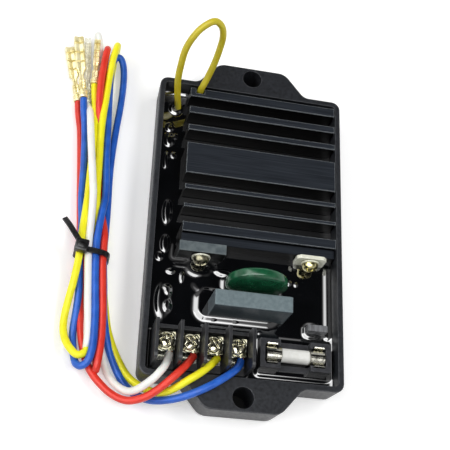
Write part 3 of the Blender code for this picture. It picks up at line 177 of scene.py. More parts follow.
cords = {
    "leadDiameter": 0.0025,
    "jumperDiameter": 0.0024,
    "steps": 4,            # points on each stretch of a route
    "roundness": 4,
    "lengths": {"white": 0.378, "red": 0.391, "yellow": 0.391, "blue": 0.392, "jumper": 0.082},
    "tones": {
        "white": ((238, 238, 232), (246, 246, 240)),
        "red": ((212, 48, 34), (224, 60, 44)),
        "yellow": ((240, 232, 28), (248, 242, 44)),
        "blue": ((26, 82, 176), (42, 102, 202)),
        "jumper": ((186, 170, 34), (200, 186, 46)),
    },
    "roughness": (0.3, 0.42),
    "grain": (260, 260, 260),
    "bump": 0.06,
    "plastic": {
        "Specular IOR Level": 0.45, "Subsurface Weight": 0.08, "Subsurface Scale": 0.0008,
    },
}


def smoothRoute(points, steps):
    # Every point is met along the direction of its neighbours
    spots = [Vector(point) for point in points]
    line = []
    for index in range(len(spots) - 1):
        start, end = spots[index], spots[index + 1]
        before = spots[index - 1] if index else 2 * start - end
        after = spots[index + 2] if index + 2 < len(spots) else 2 * end - start
        span = (end - start).length
        leaving = (end - before) * (span / ((start - before).length + span))
        arriving = (after - start) * (span / ((after - end).length + span))
        for step in range(steps):
            share = step / steps
            spot = start.lerp(end, share * share * (3 - 2 * share))
            spot += leaving * (share * (1 - share) ** 2)
            spot -= arriving * (share * share * (1 - share))
            line.append(spot)
    line.append(spots[-1])
    return line


def makeCord(name, route, diameter, material):
    data = bpy.data.curves.new(name, "CURVE")
    data.dimensions = "3D"
    data.bevel_depth = diameter / 2
    data.bevel_resolution = cords["roundness"]
    data.use_fill_caps = True
    line = smoothRoute(route, cords["steps"])
    spline = data.splines.new("POLY")
    spline.points.add(len(line) - 1)
    for spot, place in zip(spline.points, line):
        spot.co = (*place, 1.0)
    spline.use_smooth = True
    data.materials.append(material)
    item = bpy.data.objects.new(name, data)
    bpy.context.scene.collection.objects.link(item)
    print(name, "runs", round(sum((b - a).length for a, b in zip(line, line[1:])), 4))
    return item


def makeInsulation(key):
    dark, light = cords["tones"][key]
    return makeFinish(
        key + "Insulation", dark, light, cords["roughness"],
        grain=cords["grain"], bump=cords["bump"], extras=cords["plastic"],
    )


def buildCords():
    for key, route in leadRoutes.items():
        lead = makeCord(key + "Lead", route, cords["leadDiameter"], makeInsulation(key))
        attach(lead, bodyName)
        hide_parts(key + "_lead", "lead_bundle")
    diameter = cords["jumperDiameter"]
    jumper = makeCord("jumperWire", jumperRoute, diameter, makeInsulation("jumper"))
    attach(jumper, bodyName)
    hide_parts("jumper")
    print("cords laid")


def block(shape, place, size, turn=0.0, rounding=0.0):
    made = bmesh.ops.create_cube(shape, size=1.0)
    spots = made["verts"]
    bmesh.ops.scale(shape, vec=size, verts=spots)
    if rounding:
        edges = {edge for spot in spots for edge in spot.link_edges}
        made = bmesh.ops.bevel(
            shape, geom=list(edges), offset=rounding, segments=2, affect="EDGES", profile=0.5,
        )
        kept = {spot for spot in spots if spot.is_valid}
        spots = list({spot for face in made["faces"] for spot in face.verts} | kept)
    turned = Matrix.Rotation(math.radians(turn), 3, "Z")
    bmesh.ops.rotate(shape, cent=(0, 0, 0), matrix=turned, verts=spots)
    bmesh.ops.translate(shape, vec=place, verts=spots)


def makePiece(name, shape, material, node, sharpAngle=180):
    bmesh.ops.recalc_face_normals(shape, faces=shape.faces)
    mesh = bpy.data.meshes.new(name)
    shape.to_mesh(mesh)
    shape.free()
    mesh.materials.append(material)
    for face in mesh.polygons:
        face.use_smooth = True
    if sharpAngle < 180:
        mesh.set_sharp_from_angle(angle=math.radians(sharpAngle))
    item = bpy.data.objects.new(name, mesh)
    bpy.context.scene.collection.objects.link(item)
    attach(item, bodyName)
    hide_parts(node)


def joinRings(shape, near, far):
    for index in range(len(near)):
        following = (index + 1) % len(near)
        shape.faces.new((near[index], near[following], far[following], far[index]))


def closeRings(shape, rings):
    # A closed skin over rings of equally many points
    for near, far in zip(rings, rings[1:]):
        joinRings(shape, near, far)
    shape.faces.new(rings[0][::-1])
    shape.faces.new(rings[-1])


tie = {
    "place": -0.0142,       # along the bundle
    "width": 0.0019,
    "thickness": 0.0009,
    "flatShare": 0.86,      # the strap's flat part, and how square its sides are
    "sideShare": 0.4,
    "loop": (
        # x and z round the strands, from the head
        (-0.0545, 0.0087), (-0.0500, 0.0089), (-0.0470, 0.0085), (-0.0459, 0.0070),
        (-0.0456, 0.0040), (-0.0457, 0.0014), (-0.0470, 0.0006), (-0.0512, 0.0005),
        (-0.0553, 0.0006), (-0.0565, 0.0014), (-0.0566, 0.0044), (-0.0563, 0.0074),
    ),
    "loopSteps": 5,
    "lean": 0.13,           # how far the band's right side lies nearer the camera
    "headPlace": (-0.0549, -0.0134, 0.0098),
    "headTurn": -8,
    "head": ((0.0044, 0.0042, 0.0030), 0.0005),      # size and rounding
    "pawl": ((0.0024, 0.0024, 0.0014), 0.0003),
    "pawlLift": 0.0011,
    "tail": (
        (-0.0556, -0.0120, 0.0100), (-0.0575, -0.0092, 0.0096),
        (-0.0594, -0.0060, 0.0084), (-0.0612, -0.0030, 0.0066),
    ),
    "tailSteps": 8,
    "tailAcross": (1, 0.6, 0),
    "tooth": (0.0012, 0.00045, 0.0002),
    "toothTurn": 35,
    "toothLift": 0.55,      # share of the strap's thickness
}


def strapRings(shape, spots, across, closed):
    # Sections of a flat strap through the spots; across is the direction of its width
    rings = []
    count = len(spots)
    flat, sideways = tie["flatShare"], tie["sideShare"]
    for index, spot in enumerate(spots):
        before = spots[index - 1] if closed or index else spot
        after = spots[(index + 1) % count] if closed or index + 1 < count else spot
        along = (after - before).normalized()
        side = (across - across.dot(along) * along).normalized() * (tie["width"] / 2)
        out = along.cross(side).normalized() * (tie["thickness"] / 2)
        corners = (
            -side * flat - out, side * flat - out, side - out * sideways, side + out * sideways,
            side * flat + out, -side * flat + out, -side + out * sideways, -side - out * sideways,
        )
        rings.append([shape.verts.new(spot + corner) for corner in corners])
    return rings


def buildTie(material):
    shape = bmesh.new()
    middle = sum(x for x, z in tie["loop"]) / len(tie["loop"])
    loop = [Vector((x, tie["place"] - tie["lean"] * (x - middle), z)) for x, z in tie["loop"]]
    band = smoothRoute(loop + loop[:1], tie["loopSteps"])[:-1]
    rings = strapRings(shape, band, Vector((tie["lean"], 1, 0)), closed=True)
    for near, far in zip(rings, rings[1:] + rings[:1]):
        joinRings(shape, near, far)
    size, rounding = tie["head"]
    block(shape, tie["headPlace"], size, tie["headTurn"], rounding)
    size, rounding = tie["pawl"]
    above = Vector(tie["headPlace"]) + Vector((0, 0, tie["pawlLift"]))
    block(shape, above, size, tie["headTurn"], rounding)
    tail = smoothRoute(tie["tail"], tie["tailSteps"])
    closeRings(shape, strapRings(shape, tail, Vector(tie["tailAcross"]), closed=False))
    run = 0.0
    lift = Vector((0, 0, tie["thickness"] * tie["toothLift"]))
    for start, end in zip(tail, tail[1:]):     # ratchet teeth on the tail
        run += (end - start).length
        if run > 2 * tie["tooth"][1]:
            run = 0.0
            block(shape, end + lift, tie["tooth"], tie["toothTurn"])
    makePiece("cableTie", shape, material, "cable_tie", 35)
    print("tie made")


resin = {
    "level": 0.0051,
    "half": (0.03155, 0.0528),
    "grid": 0.00035,
    "walls": (0.00015, 0.0008, 0.0004, 0.0008),      # rise at the left, right, near and far wall
    "wallReach": 0.0009,
    "skirts": (
        # low corner, high corner, rounding, rise, reach: where the resin creeps up the pieces
        ((-0.0118, -0.0287), (0.0090, -0.0256), 0.0026, 0.0009, 0.0014),
        ((0.0236, -0.0334), (0.0246, -0.0322), 0.0012, 0.0007, 0.0010),
        ((0.0301, -0.0345), (0.0330, -0.0095), 0.0, 0.0007, 0.0011),
        ((0.0066, -0.0486), (0.0330, -0.0375), 0.0004, 0.0006, 0.0010),
        ((-0.0302, -0.0520), (0.0020, -0.0382), 0.0, 0.0005, 0.0007),
        ((-0.0050, -0.0226), (0.0115, -0.0184), 0.0010, 0.0007, 0.0011),
        ((-0.0234, -0.0110), (-0.0080, -0.0070), 0.0004, 0.0003, 0.0012),
        ((0.0190, -0.0100), (0.0275, -0.0070), 0.0006, 0.0002, 0.0008),
    ),
    "mounds": (
        # place, half width, half length, rise
        (-0.0266, 0.0462, 0.0021, 0.0023, 0.0008), (-0.0282, 0.0380, 0.0013, 0.0016, 0.0007),
        (-0.0281, 0.0330, 0.0016, 0.0025, 0.0009), (-0.0262, 0.0345, 0.0008, 0.0010, 0.0005),
        (-0.0287, 0.0247, 0.0010, 0.0031, 0.0007), (-0.0262, 0.0270, 0.0010, 0.0012, 0.0004),
        (-0.0270, 0.0049, 0.0014, 0.0044, 0.0008), (-0.0270, -0.0070, 0.0014, 0.0032, 0.0007),
        (-0.0286, -0.0118, 0.0012, 0.0015, 0.0006), (-0.0265, -0.0272, 0.0024, 0.0062, 0.0008),
        (-0.0249, -0.0236, 0.0012, 0.0018, 0.0006), (-0.0248, -0.0292, 0.0014, 0.0021, 0.0006),
        (-0.0150, -0.0148, 0.0045, 0.0030, 0.0006), (-0.0098, -0.0136, 0.0024, 0.0018, 0.0003),
        (-0.0135, -0.0205, 0.0034, 0.0024, 0.0004), (-0.0206, -0.0185, 0.0006, 0.0020, 0.0005),
        (-0.0245, -0.0168, 0.0014, 0.0009, 0.0006), (-0.0262, -0.0228, 0.0006, 0.0008, 0.0003),
        (-0.0064, -0.0153, 0.0028, 0.0012, 0.0008), (0.0166, -0.0163, 0.0007, 0.0008, 0.0006),
        (0.0190, -0.0166, 0.0006, 0.0007, 0.0005), (0.0065, -0.0352, 0.0005, 0.0006, 0.0005),
        (-0.0215, -0.0145, 0.0022, 0.0005, 0.0002),
    ),
    "moundShare": 0.8,
    "moundSteepness": 2.6,
    "moundEnd": 4,          # squared distance past which a mound is flat
}


def resinHeight(x, y):
    halfX, halfY = resin["half"]
    rise = 0.0
    for height, gap in zip(resin["walls"], (halfX + x, halfX - x, halfY + y, halfY - y)):
        rise += height * math.exp(-max(gap, 0.0) / resin["wallReach"])
    best = 0.0
    for (lowX, lowY), (highX, highY), rounding, height, reach in resin["skirts"]:
        away = math.hypot(max(lowX - x, 0.0, x - highX), max(lowY - y, 0.0, y - highY))
        away = max(away - rounding, 0.0)
        best = max(best, height * math.exp(-((away / reach) ** 2)))
    rise = max(rise, best)
    for placeX, placeY, halfWidth, halfLength, height in resin["mounds"]:
        away = ((x - placeX) / halfWidth) ** 2 + ((y - placeY) / halfLength) ** 2
        if away < resin["moundEnd"]:
            rise += resin["moundShare"] * height * math.exp(-(away ** resin["moundSteepness"]))
    return resin["level"] + rise


def buildResin(material):
    halfX, halfY = resin["half"]
    columns = round(2 * halfX / resin["grid"])
    rows = round(2 * halfY / resin["grid"])
    shape = bmesh.new()
    grid = []
    for row in range(rows + 1):
        y = -halfY + 2 * halfY * row / rows
        line = [-halfX + 2 * halfX * column / columns for column in range(columns + 1)]
        grid.append([shape.verts.new((x, y, resinHeight(x, y))) for x in line])
    for lower, upper in zip(grid, grid[1:]):
        for column in range(columns):
            after = column + 1
            shape.faces.new((lower[column], lower[after], upper[after], upper[column]))
    makePiece("resinFill", shape, material, "potting_resin")
    print("resin poured")


disc = {
    "radius": 0.0104,
    "half": 0.0025,
    "edge": 0.0021,
    "dome": 0.0004,
    "lowest": 0.0037,
    "around": 96,
    "across": 18,
    "flatSpread": 1.35,     # how soon the flat sides reach their full width
    "edgeRound": 3,
    "sideRound": 0.45,
    "wobble": ((3, 1.0, 0.010), (5, 2.2, 0.006), (9, 0.4, 0.004)),      # waves, start, share
}


def buildDisc(material):
    low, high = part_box("varistor_disc")
    top, edge, dome = disc["radius"], disc["edge"], disc["dome"]
    middle = Vector(((low.x + high.x) / 2, (low.y + high.y) / 2, high.z - top))
    shape = bmesh.new()
    rings = []
    for step in range(1, 2 * disc["across"]):
        turn = math.pi * step / (2 * disc["across"])
        radius = top
        if step != disc["across"]:
            radius = (top - edge) * min(1.0, disc["flatSpread"] * math.sin(turn))
            radius += edge * math.sin(turn) ** disc["edgeRound"]
        bulge = abs(math.cos(turn)) ** disc["sideRound"]
        depth = -math.copysign(bulge, math.cos(turn)) * (disc["half"] - dome)
        depth -= math.copysign(dome, math.cos(turn)) * (1 - (radius / top) ** 2)
        ring = []
        for index in range(disc["around"]):
            angle = 2 * math.pi * index / disc["around"]
            waves = sum(
                share * math.sin(count * angle + start) for count, start, share in disc["wobble"]
            )
            reach = min(radius * (1 + waves * (radius / top)), top)
            z = max(middle.z + reach * math.sin(angle), disc["lowest"])
            ring.append(shape.verts.new((middle.x + reach * math.cos(angle), middle.y + depth, z)))
        rings.append(ring)
    closeRings(shape, rings)
    makePiece("discBody", shape, material, "varistor_disc", 60)
    print("disc made")


screws = {
    "rings": 30,
    "spokes": 72,
    "crossHalf": 0.16,      # shares of the head's radius
    "crossReach": 0.68,
    "crossDepth": 0.55,     # share of the head's height
    "crossTaper": 0.5,
    "soft": 0.07,
    "crown": (3.2, 0.45, 0.1),      # how the head rounds off: power, roundness, fall to its rim
    "collar": 0.12,         # share of the head's height below its rim
    "terminalHead": 0.0016,
    "terminalShank": 0.5,   # shares of the head's radius
    "deviceHead": 0.0021,
    "deviceShank": 0.45,
    "terminalTurns": (20, 52, 35, 8),
    "deviceTurns": {"left": 25, "right": 55},
}


def smoothStep(value, low, high):
    share = min(max((value - low) / (high - low), 0.0), 1.0)
    return share * share * (3 - 2 * share)


def crossShare(x, y):
    # 1 in the cross recess and 0 outside it
    half, reach, soft = screws["crossHalf"], screws["crossReach"], screws["soft"]

    def bar(one, other):
        narrow = 1 - smoothStep(abs(one), half - soft / 2, half + soft / 2)
        return narrow * (1 - smoothStep(abs(other), reach - soft, reach + soft))

    return max(bar(x, y), bar(y, x))


def makeScrew(name, place, radius, height, shank, depth, turn, lying, material, node):
    # A pan head with a cross recess; lying screws point away from the near side
    turn = math.radians(turn)
    shape = bmesh.new()

    def spot(x, y, z):
        across = x * math.cos(turn) - y * math.sin(turn)
        along = x * math.sin(turn) + y * math.cos(turn)
        offset = (across, -z, along) if lying else (across, along, z)
        return shape.verts.new(Vector(place) + Vector(offset))

    angles = [2 * math.pi * spoke / screws["spokes"] for spoke in range(screws["spokes"])]
    power, roundness, fall = screws["crown"]
    rings = []
    for ring in range(1, screws["rings"] + 1):
        share = ring / screws["rings"]
        line = []
        for angle in angles:
            x, y = share * math.cos(angle), share * math.sin(angle)
            z = height * (1 - share ** power) ** roundness * (1 - fall * share * share)
            recess = screws["crossDepth"] * height * (1 - screws["crossTaper"] * share)
            z -= crossShare(x, y) * recess
            line.append(spot(radius * x, radius * y, max(z, 0.0)))
        rings.append(line)
    collar = -screws["collar"] * height
    for z, reach in ((collar, radius), (collar, shank), (-depth, shank)):
        rings.append([spot(reach * math.cos(a), reach * math.sin(a), z) for a in angles])
    centre = spot(0, 0, height * (1 - screws["crossDepth"]))
    for spoke in range(len(angles)):
        following = (spoke + 1) % len(angles)
        shape.faces.new((centre, rings[0][spoke], rings[0][following]))
        for near, far in zip(rings, rings[1:]):
            shape.faces.new((near[spoke], far[spoke], far[following], near[following]))
    shape.faces.new(rings[-1][::-1])
    makePiece(name, shape, material, node, 50)


def buildScrews(finishes):
    for number, turn in enumerate(screws["terminalTurns"], 1):
        node = f"terminal_screw_{number}"
        low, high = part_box(node)
        radius = (high.x - low.x) / 2
        top = screws["terminalHead"]
        place = ((low.x + high.x) / 2, (low.y + high.y) / 2, high.z - top)
        makeScrew(
            f"terminalScrew{number}", place, radius, top, radius * screws["terminalShank"],
            high.z - top - low.z, turn, False, finishes["nickel"], node,
        )
    for side, turn in screws["deviceTurns"].items():
        node = side + "_device_screw"
        low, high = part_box(node)
        radius = (high.x - low.x) / 2
        top = screws["deviceHead"]
        place = ((low.x + high.x) / 2, low.y + top, (low.z + high.z) / 2)
        makeScrew(
            side + "DeviceScrew", place, radius, top, radius * screws["deviceShank"],
            high.y - low.y - top, turn, True, finishes[side + "Zinc"], node,
        )
    print("screws made")


clamps = {
    "steps": 20,
    "thickness": 0.0006,
    "cornerFrom": 0.35,     # where the corners start to rise, as a share of the way out
    "cornerRise": 0.0013,
    "cornerPull": 0.05,
    "dish": 0.0001,
}


def buildClamps(material):
    # Saddle washers: their corners turn up round the screw heads
    steps = clamps["steps"]
    for number in range(1, len(screws["terminalTurns"]) + 1):
        node = f"clamp_plate_{number}"
        low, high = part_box(node)
        shape = bmesh.new()
        sheets = []
        for lift in (clamps["thickness"], 0.0):
            sheet = []
            for row in range(steps + 1):
                line = []
                for column in range(steps + 1):
                    u, v = 2 * column / steps - 1, 2 * row / steps - 1
                    corner = max(abs(u) * abs(v) - clamps["cornerFrom"], 0.0)
                    corner /= 1 - clamps["cornerFrom"]
                    pull = 1 - clamps["cornerPull"] * corner
                    rise = clamps["cornerRise"] * corner + clamps["dish"] * u * u
                    x = (low.x + high.x) / 2 + u * (high.x - low.x) / 2 * pull
                    y = (low.y + high.y) / 2 + v * (high.y - low.y) / 2 * pull
                    line.append(shape.verts.new((x, y, low.z + lift + rise)))
                sheet.append(line)
            sheets.append(sheet)
        for sheet in sheets:
            for near, far in zip(sheet, sheet[1:]):
                for column in range(steps):
                    after = column + 1
                    shape.faces.new((near[column], near[after], far[after], far[column]))
        rim = [(0, index) for index in range(steps)] + [(index, steps) for index in range(steps)]
        rim += [(steps, steps - index) for index in range(steps)]
        rim += [(steps - index, 0) for index in range(steps)]
        joinRings(shape, *([sheet[row][column] for row, column in rim] for sheet in sheets))
        makePiece(f"clampWasher{number}", shape, material, node, 40)
    print("clamps made")


connectors = {
    # crimp end, tip end, height of the axis, half width, half height
    "white": ((-0.0579, 0.0454), (-0.0605, 0.0726), 0.0016, 0.0012, 0.0014),
    "red": ((-0.0613, 0.0454), (-0.0667, 0.0675), 0.0016, 0.0017, 0.0012),
    "yellow": ((-0.0563, 0.0517), (-0.0570, 0.0705), 0.0046, 0.0011, 0.0014),
    "blue": ((-0.0597, 0.0454), (-0.0639, 0.0706), 0.0046, 0.0018, 0.0012),
}
spade = {
    "around": 24,
    "crimp": (
        # share of the length, half width and half height in mm, squareness (1 is round)
        (0.0, 1.42, 1.42, 1.0), (0.01, 1.58, 1.56, 1.0), (0.035, 1.58, 1.56, 1.0),
        (0.045, 1.36, 1.38, 1.0), (0.065, 1.36, 1.38, 1.0), (0.075, 1.58, 1.56, 1.0),
        (0.1, 1.58, 1.56, 1.0), (0.11, 1.1, 1.05, 1.0), (0.15, 0.95, 0.95, 0.9),
        (0.16, 1.3, 1.25, 0.9), (0.19, 1.3, 1.25, 0.9), (0.2, 1.0, 1.0, 0.9),
        (0.215, 1.3, 1.25, 0.9), (0.24, 1.3, 1.25, 0.9), (0.25, 1.0, 1.0, 0.9),
        (0.265, 1.3, 1.25, 0.9), (0.29, 1.25, 1.2, 0.9), (0.3, 0.85, 0.9, 0.7),
        (0.36, 0.8, 0.6, 0.5), (0.42, 1.0, 0.5, 0.35),
    ),
    "blade": (
        # share of the length, depth of the groove in mm
        (0.47, 0), (0.56, 0), (0.565, 0.6), (0.59, 0.6), (0.595, 0), (0.71, 0), (0.715, 0.6),
        (0.74, 0.6), (0.745, 0), (0.87, 0), (0.875, 0.6), (0.9, 0.6), (0.905, 0), (0.975, 0),
        (1.0, 0.3),
    ),
    "bladeSquareness": 0.3,
    "grooveWidth": 0.94,
    "curl": 0.42,           # how deep the seam between the rolled edges lies
    "curlHalf": 0.28,
    "curlFrom": 0.12,       # share of the length
    "lowest": 0.0001,
}


def spadeSections(halfWidth, halfHeight):
    for share, wide, high, square in spade["crimp"]:
        yield share, wide / 1000, high / 1000, square
    for share, groove in spade["blade"]:
        wide = halfWidth * spade["grooveWidth"] if groove else halfWidth
        yield share, wide, halfHeight - groove / 1000, spade["bladeSquareness"]


def buildConnectors(finishes):
    for key, (start, end, axisHeight, halfWidth, halfHeight) in connectors.items():
        start, end = Vector((*start, axisHeight)), Vector((*end, axisHeight))
        along = (end - start).normalized()
        side = Vector((along.y, -along.x, 0))
        shape = bmesh.new()
        rings = []
        for share, wide, high, square in spadeSections(halfWidth, halfHeight):
            ring = []
            for index in range(spade["around"]):
                angle = 2 * math.pi * index / spade["around"]
                across, up = math.cos(angle), math.sin(angle)
                across = math.copysign(abs(across) ** square, across)
                up = math.copysign(abs(up) ** square, up)
                if up > 0 and share > spade["curlFrom"]:
                    up -= spade["curl"] * math.exp(-((across / spade["curlHalf"]) ** 2))
                height = max(axisHeight + up * high, spade["lowest"])
                lift = Vector((0, 0, height - axisHeight))
                ring.append(shape.verts.new(start.lerp(end, share) + side * (across * wide) + lift))
            rings.append(ring)
        closeRings(shape, rings)
        # The white lead's connector is the same connector metal painted paler, as painted light
        finish = finishes["paleLitConnector" if key == "white" else "brass"]
        makePiece(key + "Connector", shape, finish, key + "_connector", 30)
    print("connectors made")


def calculate(tree, operation, *values):
    # The output of a maths node; each value is a number or another node's output
    step = tree.nodes.new("ShaderNodeMath")
    step.operation = operation
    for socket, value in zip(step.inputs, values):
        if isinstance(value, (int, float)):
            socket.default_value = value
        else:
            tree.links.new(value, socket)
    return step.outputs[0]


def likeness(tree, first, second):
    # The dot product of two directions, the first of them another node's output
    step = tree.nodes.new("ShaderNodeVectorMath")
    step.operation = "DOT_PRODUCT"
    tree.links.new(first, step.inputs[0])
    if isinstance(second, Vector):
        step.inputs[1].default_value = second
    else:
        tree.links.new(second, step.inputs[1])
    return step.outputs["Value"]


def remap(tree, value, before, after):
    step = tree.nodes.new("ShaderNodeMapRange")
    tree.links.new(value, step.inputs["Value"])
    step.inputs["From Min"].default_value, step.inputs["From Max"].default_value = before
    step.inputs["To Min"].default_value, step.inputs["To Max"].default_value = after
    return step.outputs["Result"]


def pickAxis(tree, vector, axis):
    parts = tree.nodes.new("ShaderNodeSeparateXYZ")
    tree.links.new(vector, parts.inputs["Vector"])
    return parts.outputs[axis]


def addRamp(tree, value, stops):
    ramp = tree.nodes.new("ShaderNodeValToRGB")
    tree.links.new(value, ramp.inputs["Fac"])
    elements = ramp.color_ramp.elements
    while len(elements) < len(stops):
        elements.new(0.5)
    for element, (position, colour) in zip(elements, stops):
        element.position = position
        element.color = colour
    return ramp.outputs["Color"]


def mixTones(tree, share, colour, other, otherFirst=False):
    # The colour, with another fixed tone where the share is 1, or where it is 0
    blend = tree.nodes.new("ShaderNodeMix")
    blend.data_type = "RGBA"
    tree.links.new(share, blend.inputs["Factor"])
    first, second = ("B", "A") if otherFirst else ("A", "B")
    tree.links.new(colour, blend.inputs[first])
    blend.inputs[second].default_value = tone(other)
    return blend.outputs["Result"]


stage = {
    "floorSize": 8.0,
    "floorTone": 0.9,
    "floorRoughness": 0.9,
    "floorLift": (0.26, 0.75),      # added near and far for what the camera and shiny pieces see
    "liftReach": (0.35, 1.6),
    # earHoleShadows: painted shadow on the floor seen through the ear holes
    "earHoleShadows": (0.0588, 0.0037, 0.0048, 0.02),      # place along Y, half length and width, tone
    "roomStrength": 0.42,
    "backdrop": ((0.3, 0.6), (0.97, 0.0)),      # a pale band seen from the horizon up, fading out
    "darkSide": (0.1845, 0.4183, 0.8894),      # where level surfaces mirror the camera
    "roomTones": ((0.0, 1.0), (0.86, 0.9), (0.93, 0.3), (0.965, 0.03), (1.0, 0.02)),
    "brightSide": (-0.45, -0.2, 0.87),      # a window that only reflections show
    "brightTones": ((0.0, 0.0), (0.86, 0.0), (0.9, 1.0), (1.0, 1.0)),
    "brightStrength": 5.0,
    "lamps": (
        # name, place, height, length, power, seen in reflections; each faces the object
        ("rightLamp", (0.46, 0.05, 0.88), 0.28, 0.9, 4.8, False),
        ("topLamp", (-0.10, -0.15, 1.0), 0.3, 0.9, 2.6, True),
        ("leftLamp", (-0.85, 0.05, 0.5), 0.3, 1.0, 4.5, False),
    ),
}


def seenDirectly(tree):
    # 1 where the camera, a reflection or a view through glass meets the surface
    path = tree.nodes.new("ShaderNodeLightPath")
    total = path.outputs["Is Camera Ray"]
    for other in ("Is Glossy Ray", "Is Transmission Ray"):
        total = calculate(tree, "MAXIMUM", total, path.outputs[other])
    return total


def layFloor():
    half = stage["floorSize"] / 2
    mesh = bpy.data.meshes.new("floor")
    corners = [(-half, -half, 0), (half, -half, 0), (half, half, 0), (-half, half, 0)]
    mesh.from_pydata(corners, [], [(0, 1, 2, 3)])
    floor = bpy.data.objects.new("floor", mesh)
    bpy.context.scene.collection.objects.link(floor)
    material = bpy.data.materials.new("paleFloor")
    material.use_nodes = True
    tree = material.node_tree
    shader = tree.nodes["Principled BSDF"]
    shader.inputs["Roughness"].default_value = stage["floorRoughness"]
    shader.inputs["Specular IOR Level"].default_value = 0.0
    shader.inputs["Emission Color"].default_value = (1, 1, 1, 1)
    place = tree.nodes.new("ShaderNodeNewGeometry").outputs["Position"]

    # Two painted shadow patches darken the floor under the holes of the ears, and the lift leaves
    # them out
    earPlace, halfLength, halfWidth, earShadowTone = stage["earHoleShadows"]
    fromMiddle = calculate(tree, "ABSOLUTE", pickAxis(tree, place, "X"))
    fromEar = calculate(tree, "ABSOLUTE", pickAxis(tree, place, "Y"))
    fromEar = calculate(tree, "ABSOLUTE", calculate(tree, "SUBTRACT", fromEar, earPlace))
    away = calculate(
        tree, "MAXIMUM", calculate(tree, "GREATER_THAN", fromMiddle, halfWidth),
        calculate(tree, "GREATER_THAN", fromEar, halfLength),
    )
    level = remap(tree, away, (0, 1), (earShadowTone, stage["floorTone"]))
    tree.links.new(level, shader.inputs["Base Color"])

    distance = tree.nodes.new("ShaderNodeVectorMath")
    distance.operation = "LENGTH"
    tree.links.new(place, distance.inputs[0])
    lift = remap(tree, distance.outputs["Value"], stage["liftReach"], stage["floorLift"])
    lift = calculate(tree, "MULTIPLY", seenDirectly(tree), calculate(tree, "MULTIPLY", away, lift))
    tree.links.new(lift, shader.inputs["Emission Strength"])
    mesh.materials.append(material)


def paintRoom():
    world = bpy.data.worlds.new("softRoom")
    bpy.context.scene.world = world
    world.use_nodes = True
    tree = world.node_tree
    direction = tree.nodes.new("ShaderNodeTexCoord").outputs["Generated"]

    def towards(side, tones):
        # A level from 0 to 1 by how far a direction leans to one side
        facing = likeness(tree, direction, Vector(side).normalized())
        stops = [(position, (level, level, level, 1)) for position, level in tones]
        return addRamp(tree, remap(tree, facing, (-1, 1), (0, 1)), stops)

    reflected = tree.nodes.new("ShaderNodeLightPath").outputs["Is Glossy Ray"]
    window = towards(stage["brightSide"], stage["brightTones"])
    window = calculate(tree, "MULTIPLY", window, reflected)
    room = calculate(tree, "MULTIPLY_ADD", window, stage["brightStrength"], stage["roomStrength"])
    room = calculate(tree, "MULTIPLY", room, towards(stage["darkSide"], stage["roomTones"]))
    band = remap(tree, pickAxis(tree, direction, "Z"), *stage["backdrop"])
    backdrop = calculate(tree, "MULTIPLY", band, seenDirectly(tree))
    shader = tree.nodes["Background"]
    shader.inputs["Color"].default_value = (1, 1, 1, 1)
    tree.links.new(calculate(tree, "MAXIMUM", room, backdrop), shader.inputs["Strength"])


def hangLamps():
    for name, place, width, length, power, shining in stage["lamps"]:
        data = bpy.data.lights.new(name, "AREA")
        data.shape = "RECTANGLE"
        data.size = width
        data.size_y = length
        data.energy = power
        lamp = bpy.data.objects.new(name, data)
        back = Vector(place).normalized()
        level = (Vector((0, 0, 1)) - back.z * back).normalized()
        turn = Matrix((level, -level.cross(back), back)).transposed()
        lamp.matrix_world = Matrix.Translation(place) @ turn.to_4x4()
        lamp.visible_glossy = shining
        bpy.context.scene.collection.objects.link(lamp)


def buildStage():
    layFloor()
    paintRoom()
    hangLamps()
    bpy.context.scene.view_settings.view_transform = "Standard"
    print("floor, room and lamps set")


def tone(colour):
    # Screen values from 0 to 255 as linear light
    levels = [value / 255 for value in colour]
    linear = [
        level / 12.92 if level < 0.04 else ((level + 0.055) / 1.055) ** 2.4 for level in levels
    ]
    return (*linear, 1.0)


grains = {
    "detail": 5.0,
    "toneStops": (0.32, 0.68),
    "roughStops": (0.3, 0.7),
    "reliefDepth": 0.0002,
    # facingUp sets where the painted side shade ends
    "facingUp": (0.3, 0.9),         # how level a surface is where its sides' tone ends
    # the stops below shape the painted edge highlight
    "edgeHighlightStops": (0.995, 0.86),     # how much the rounded edge turns from the surface
}


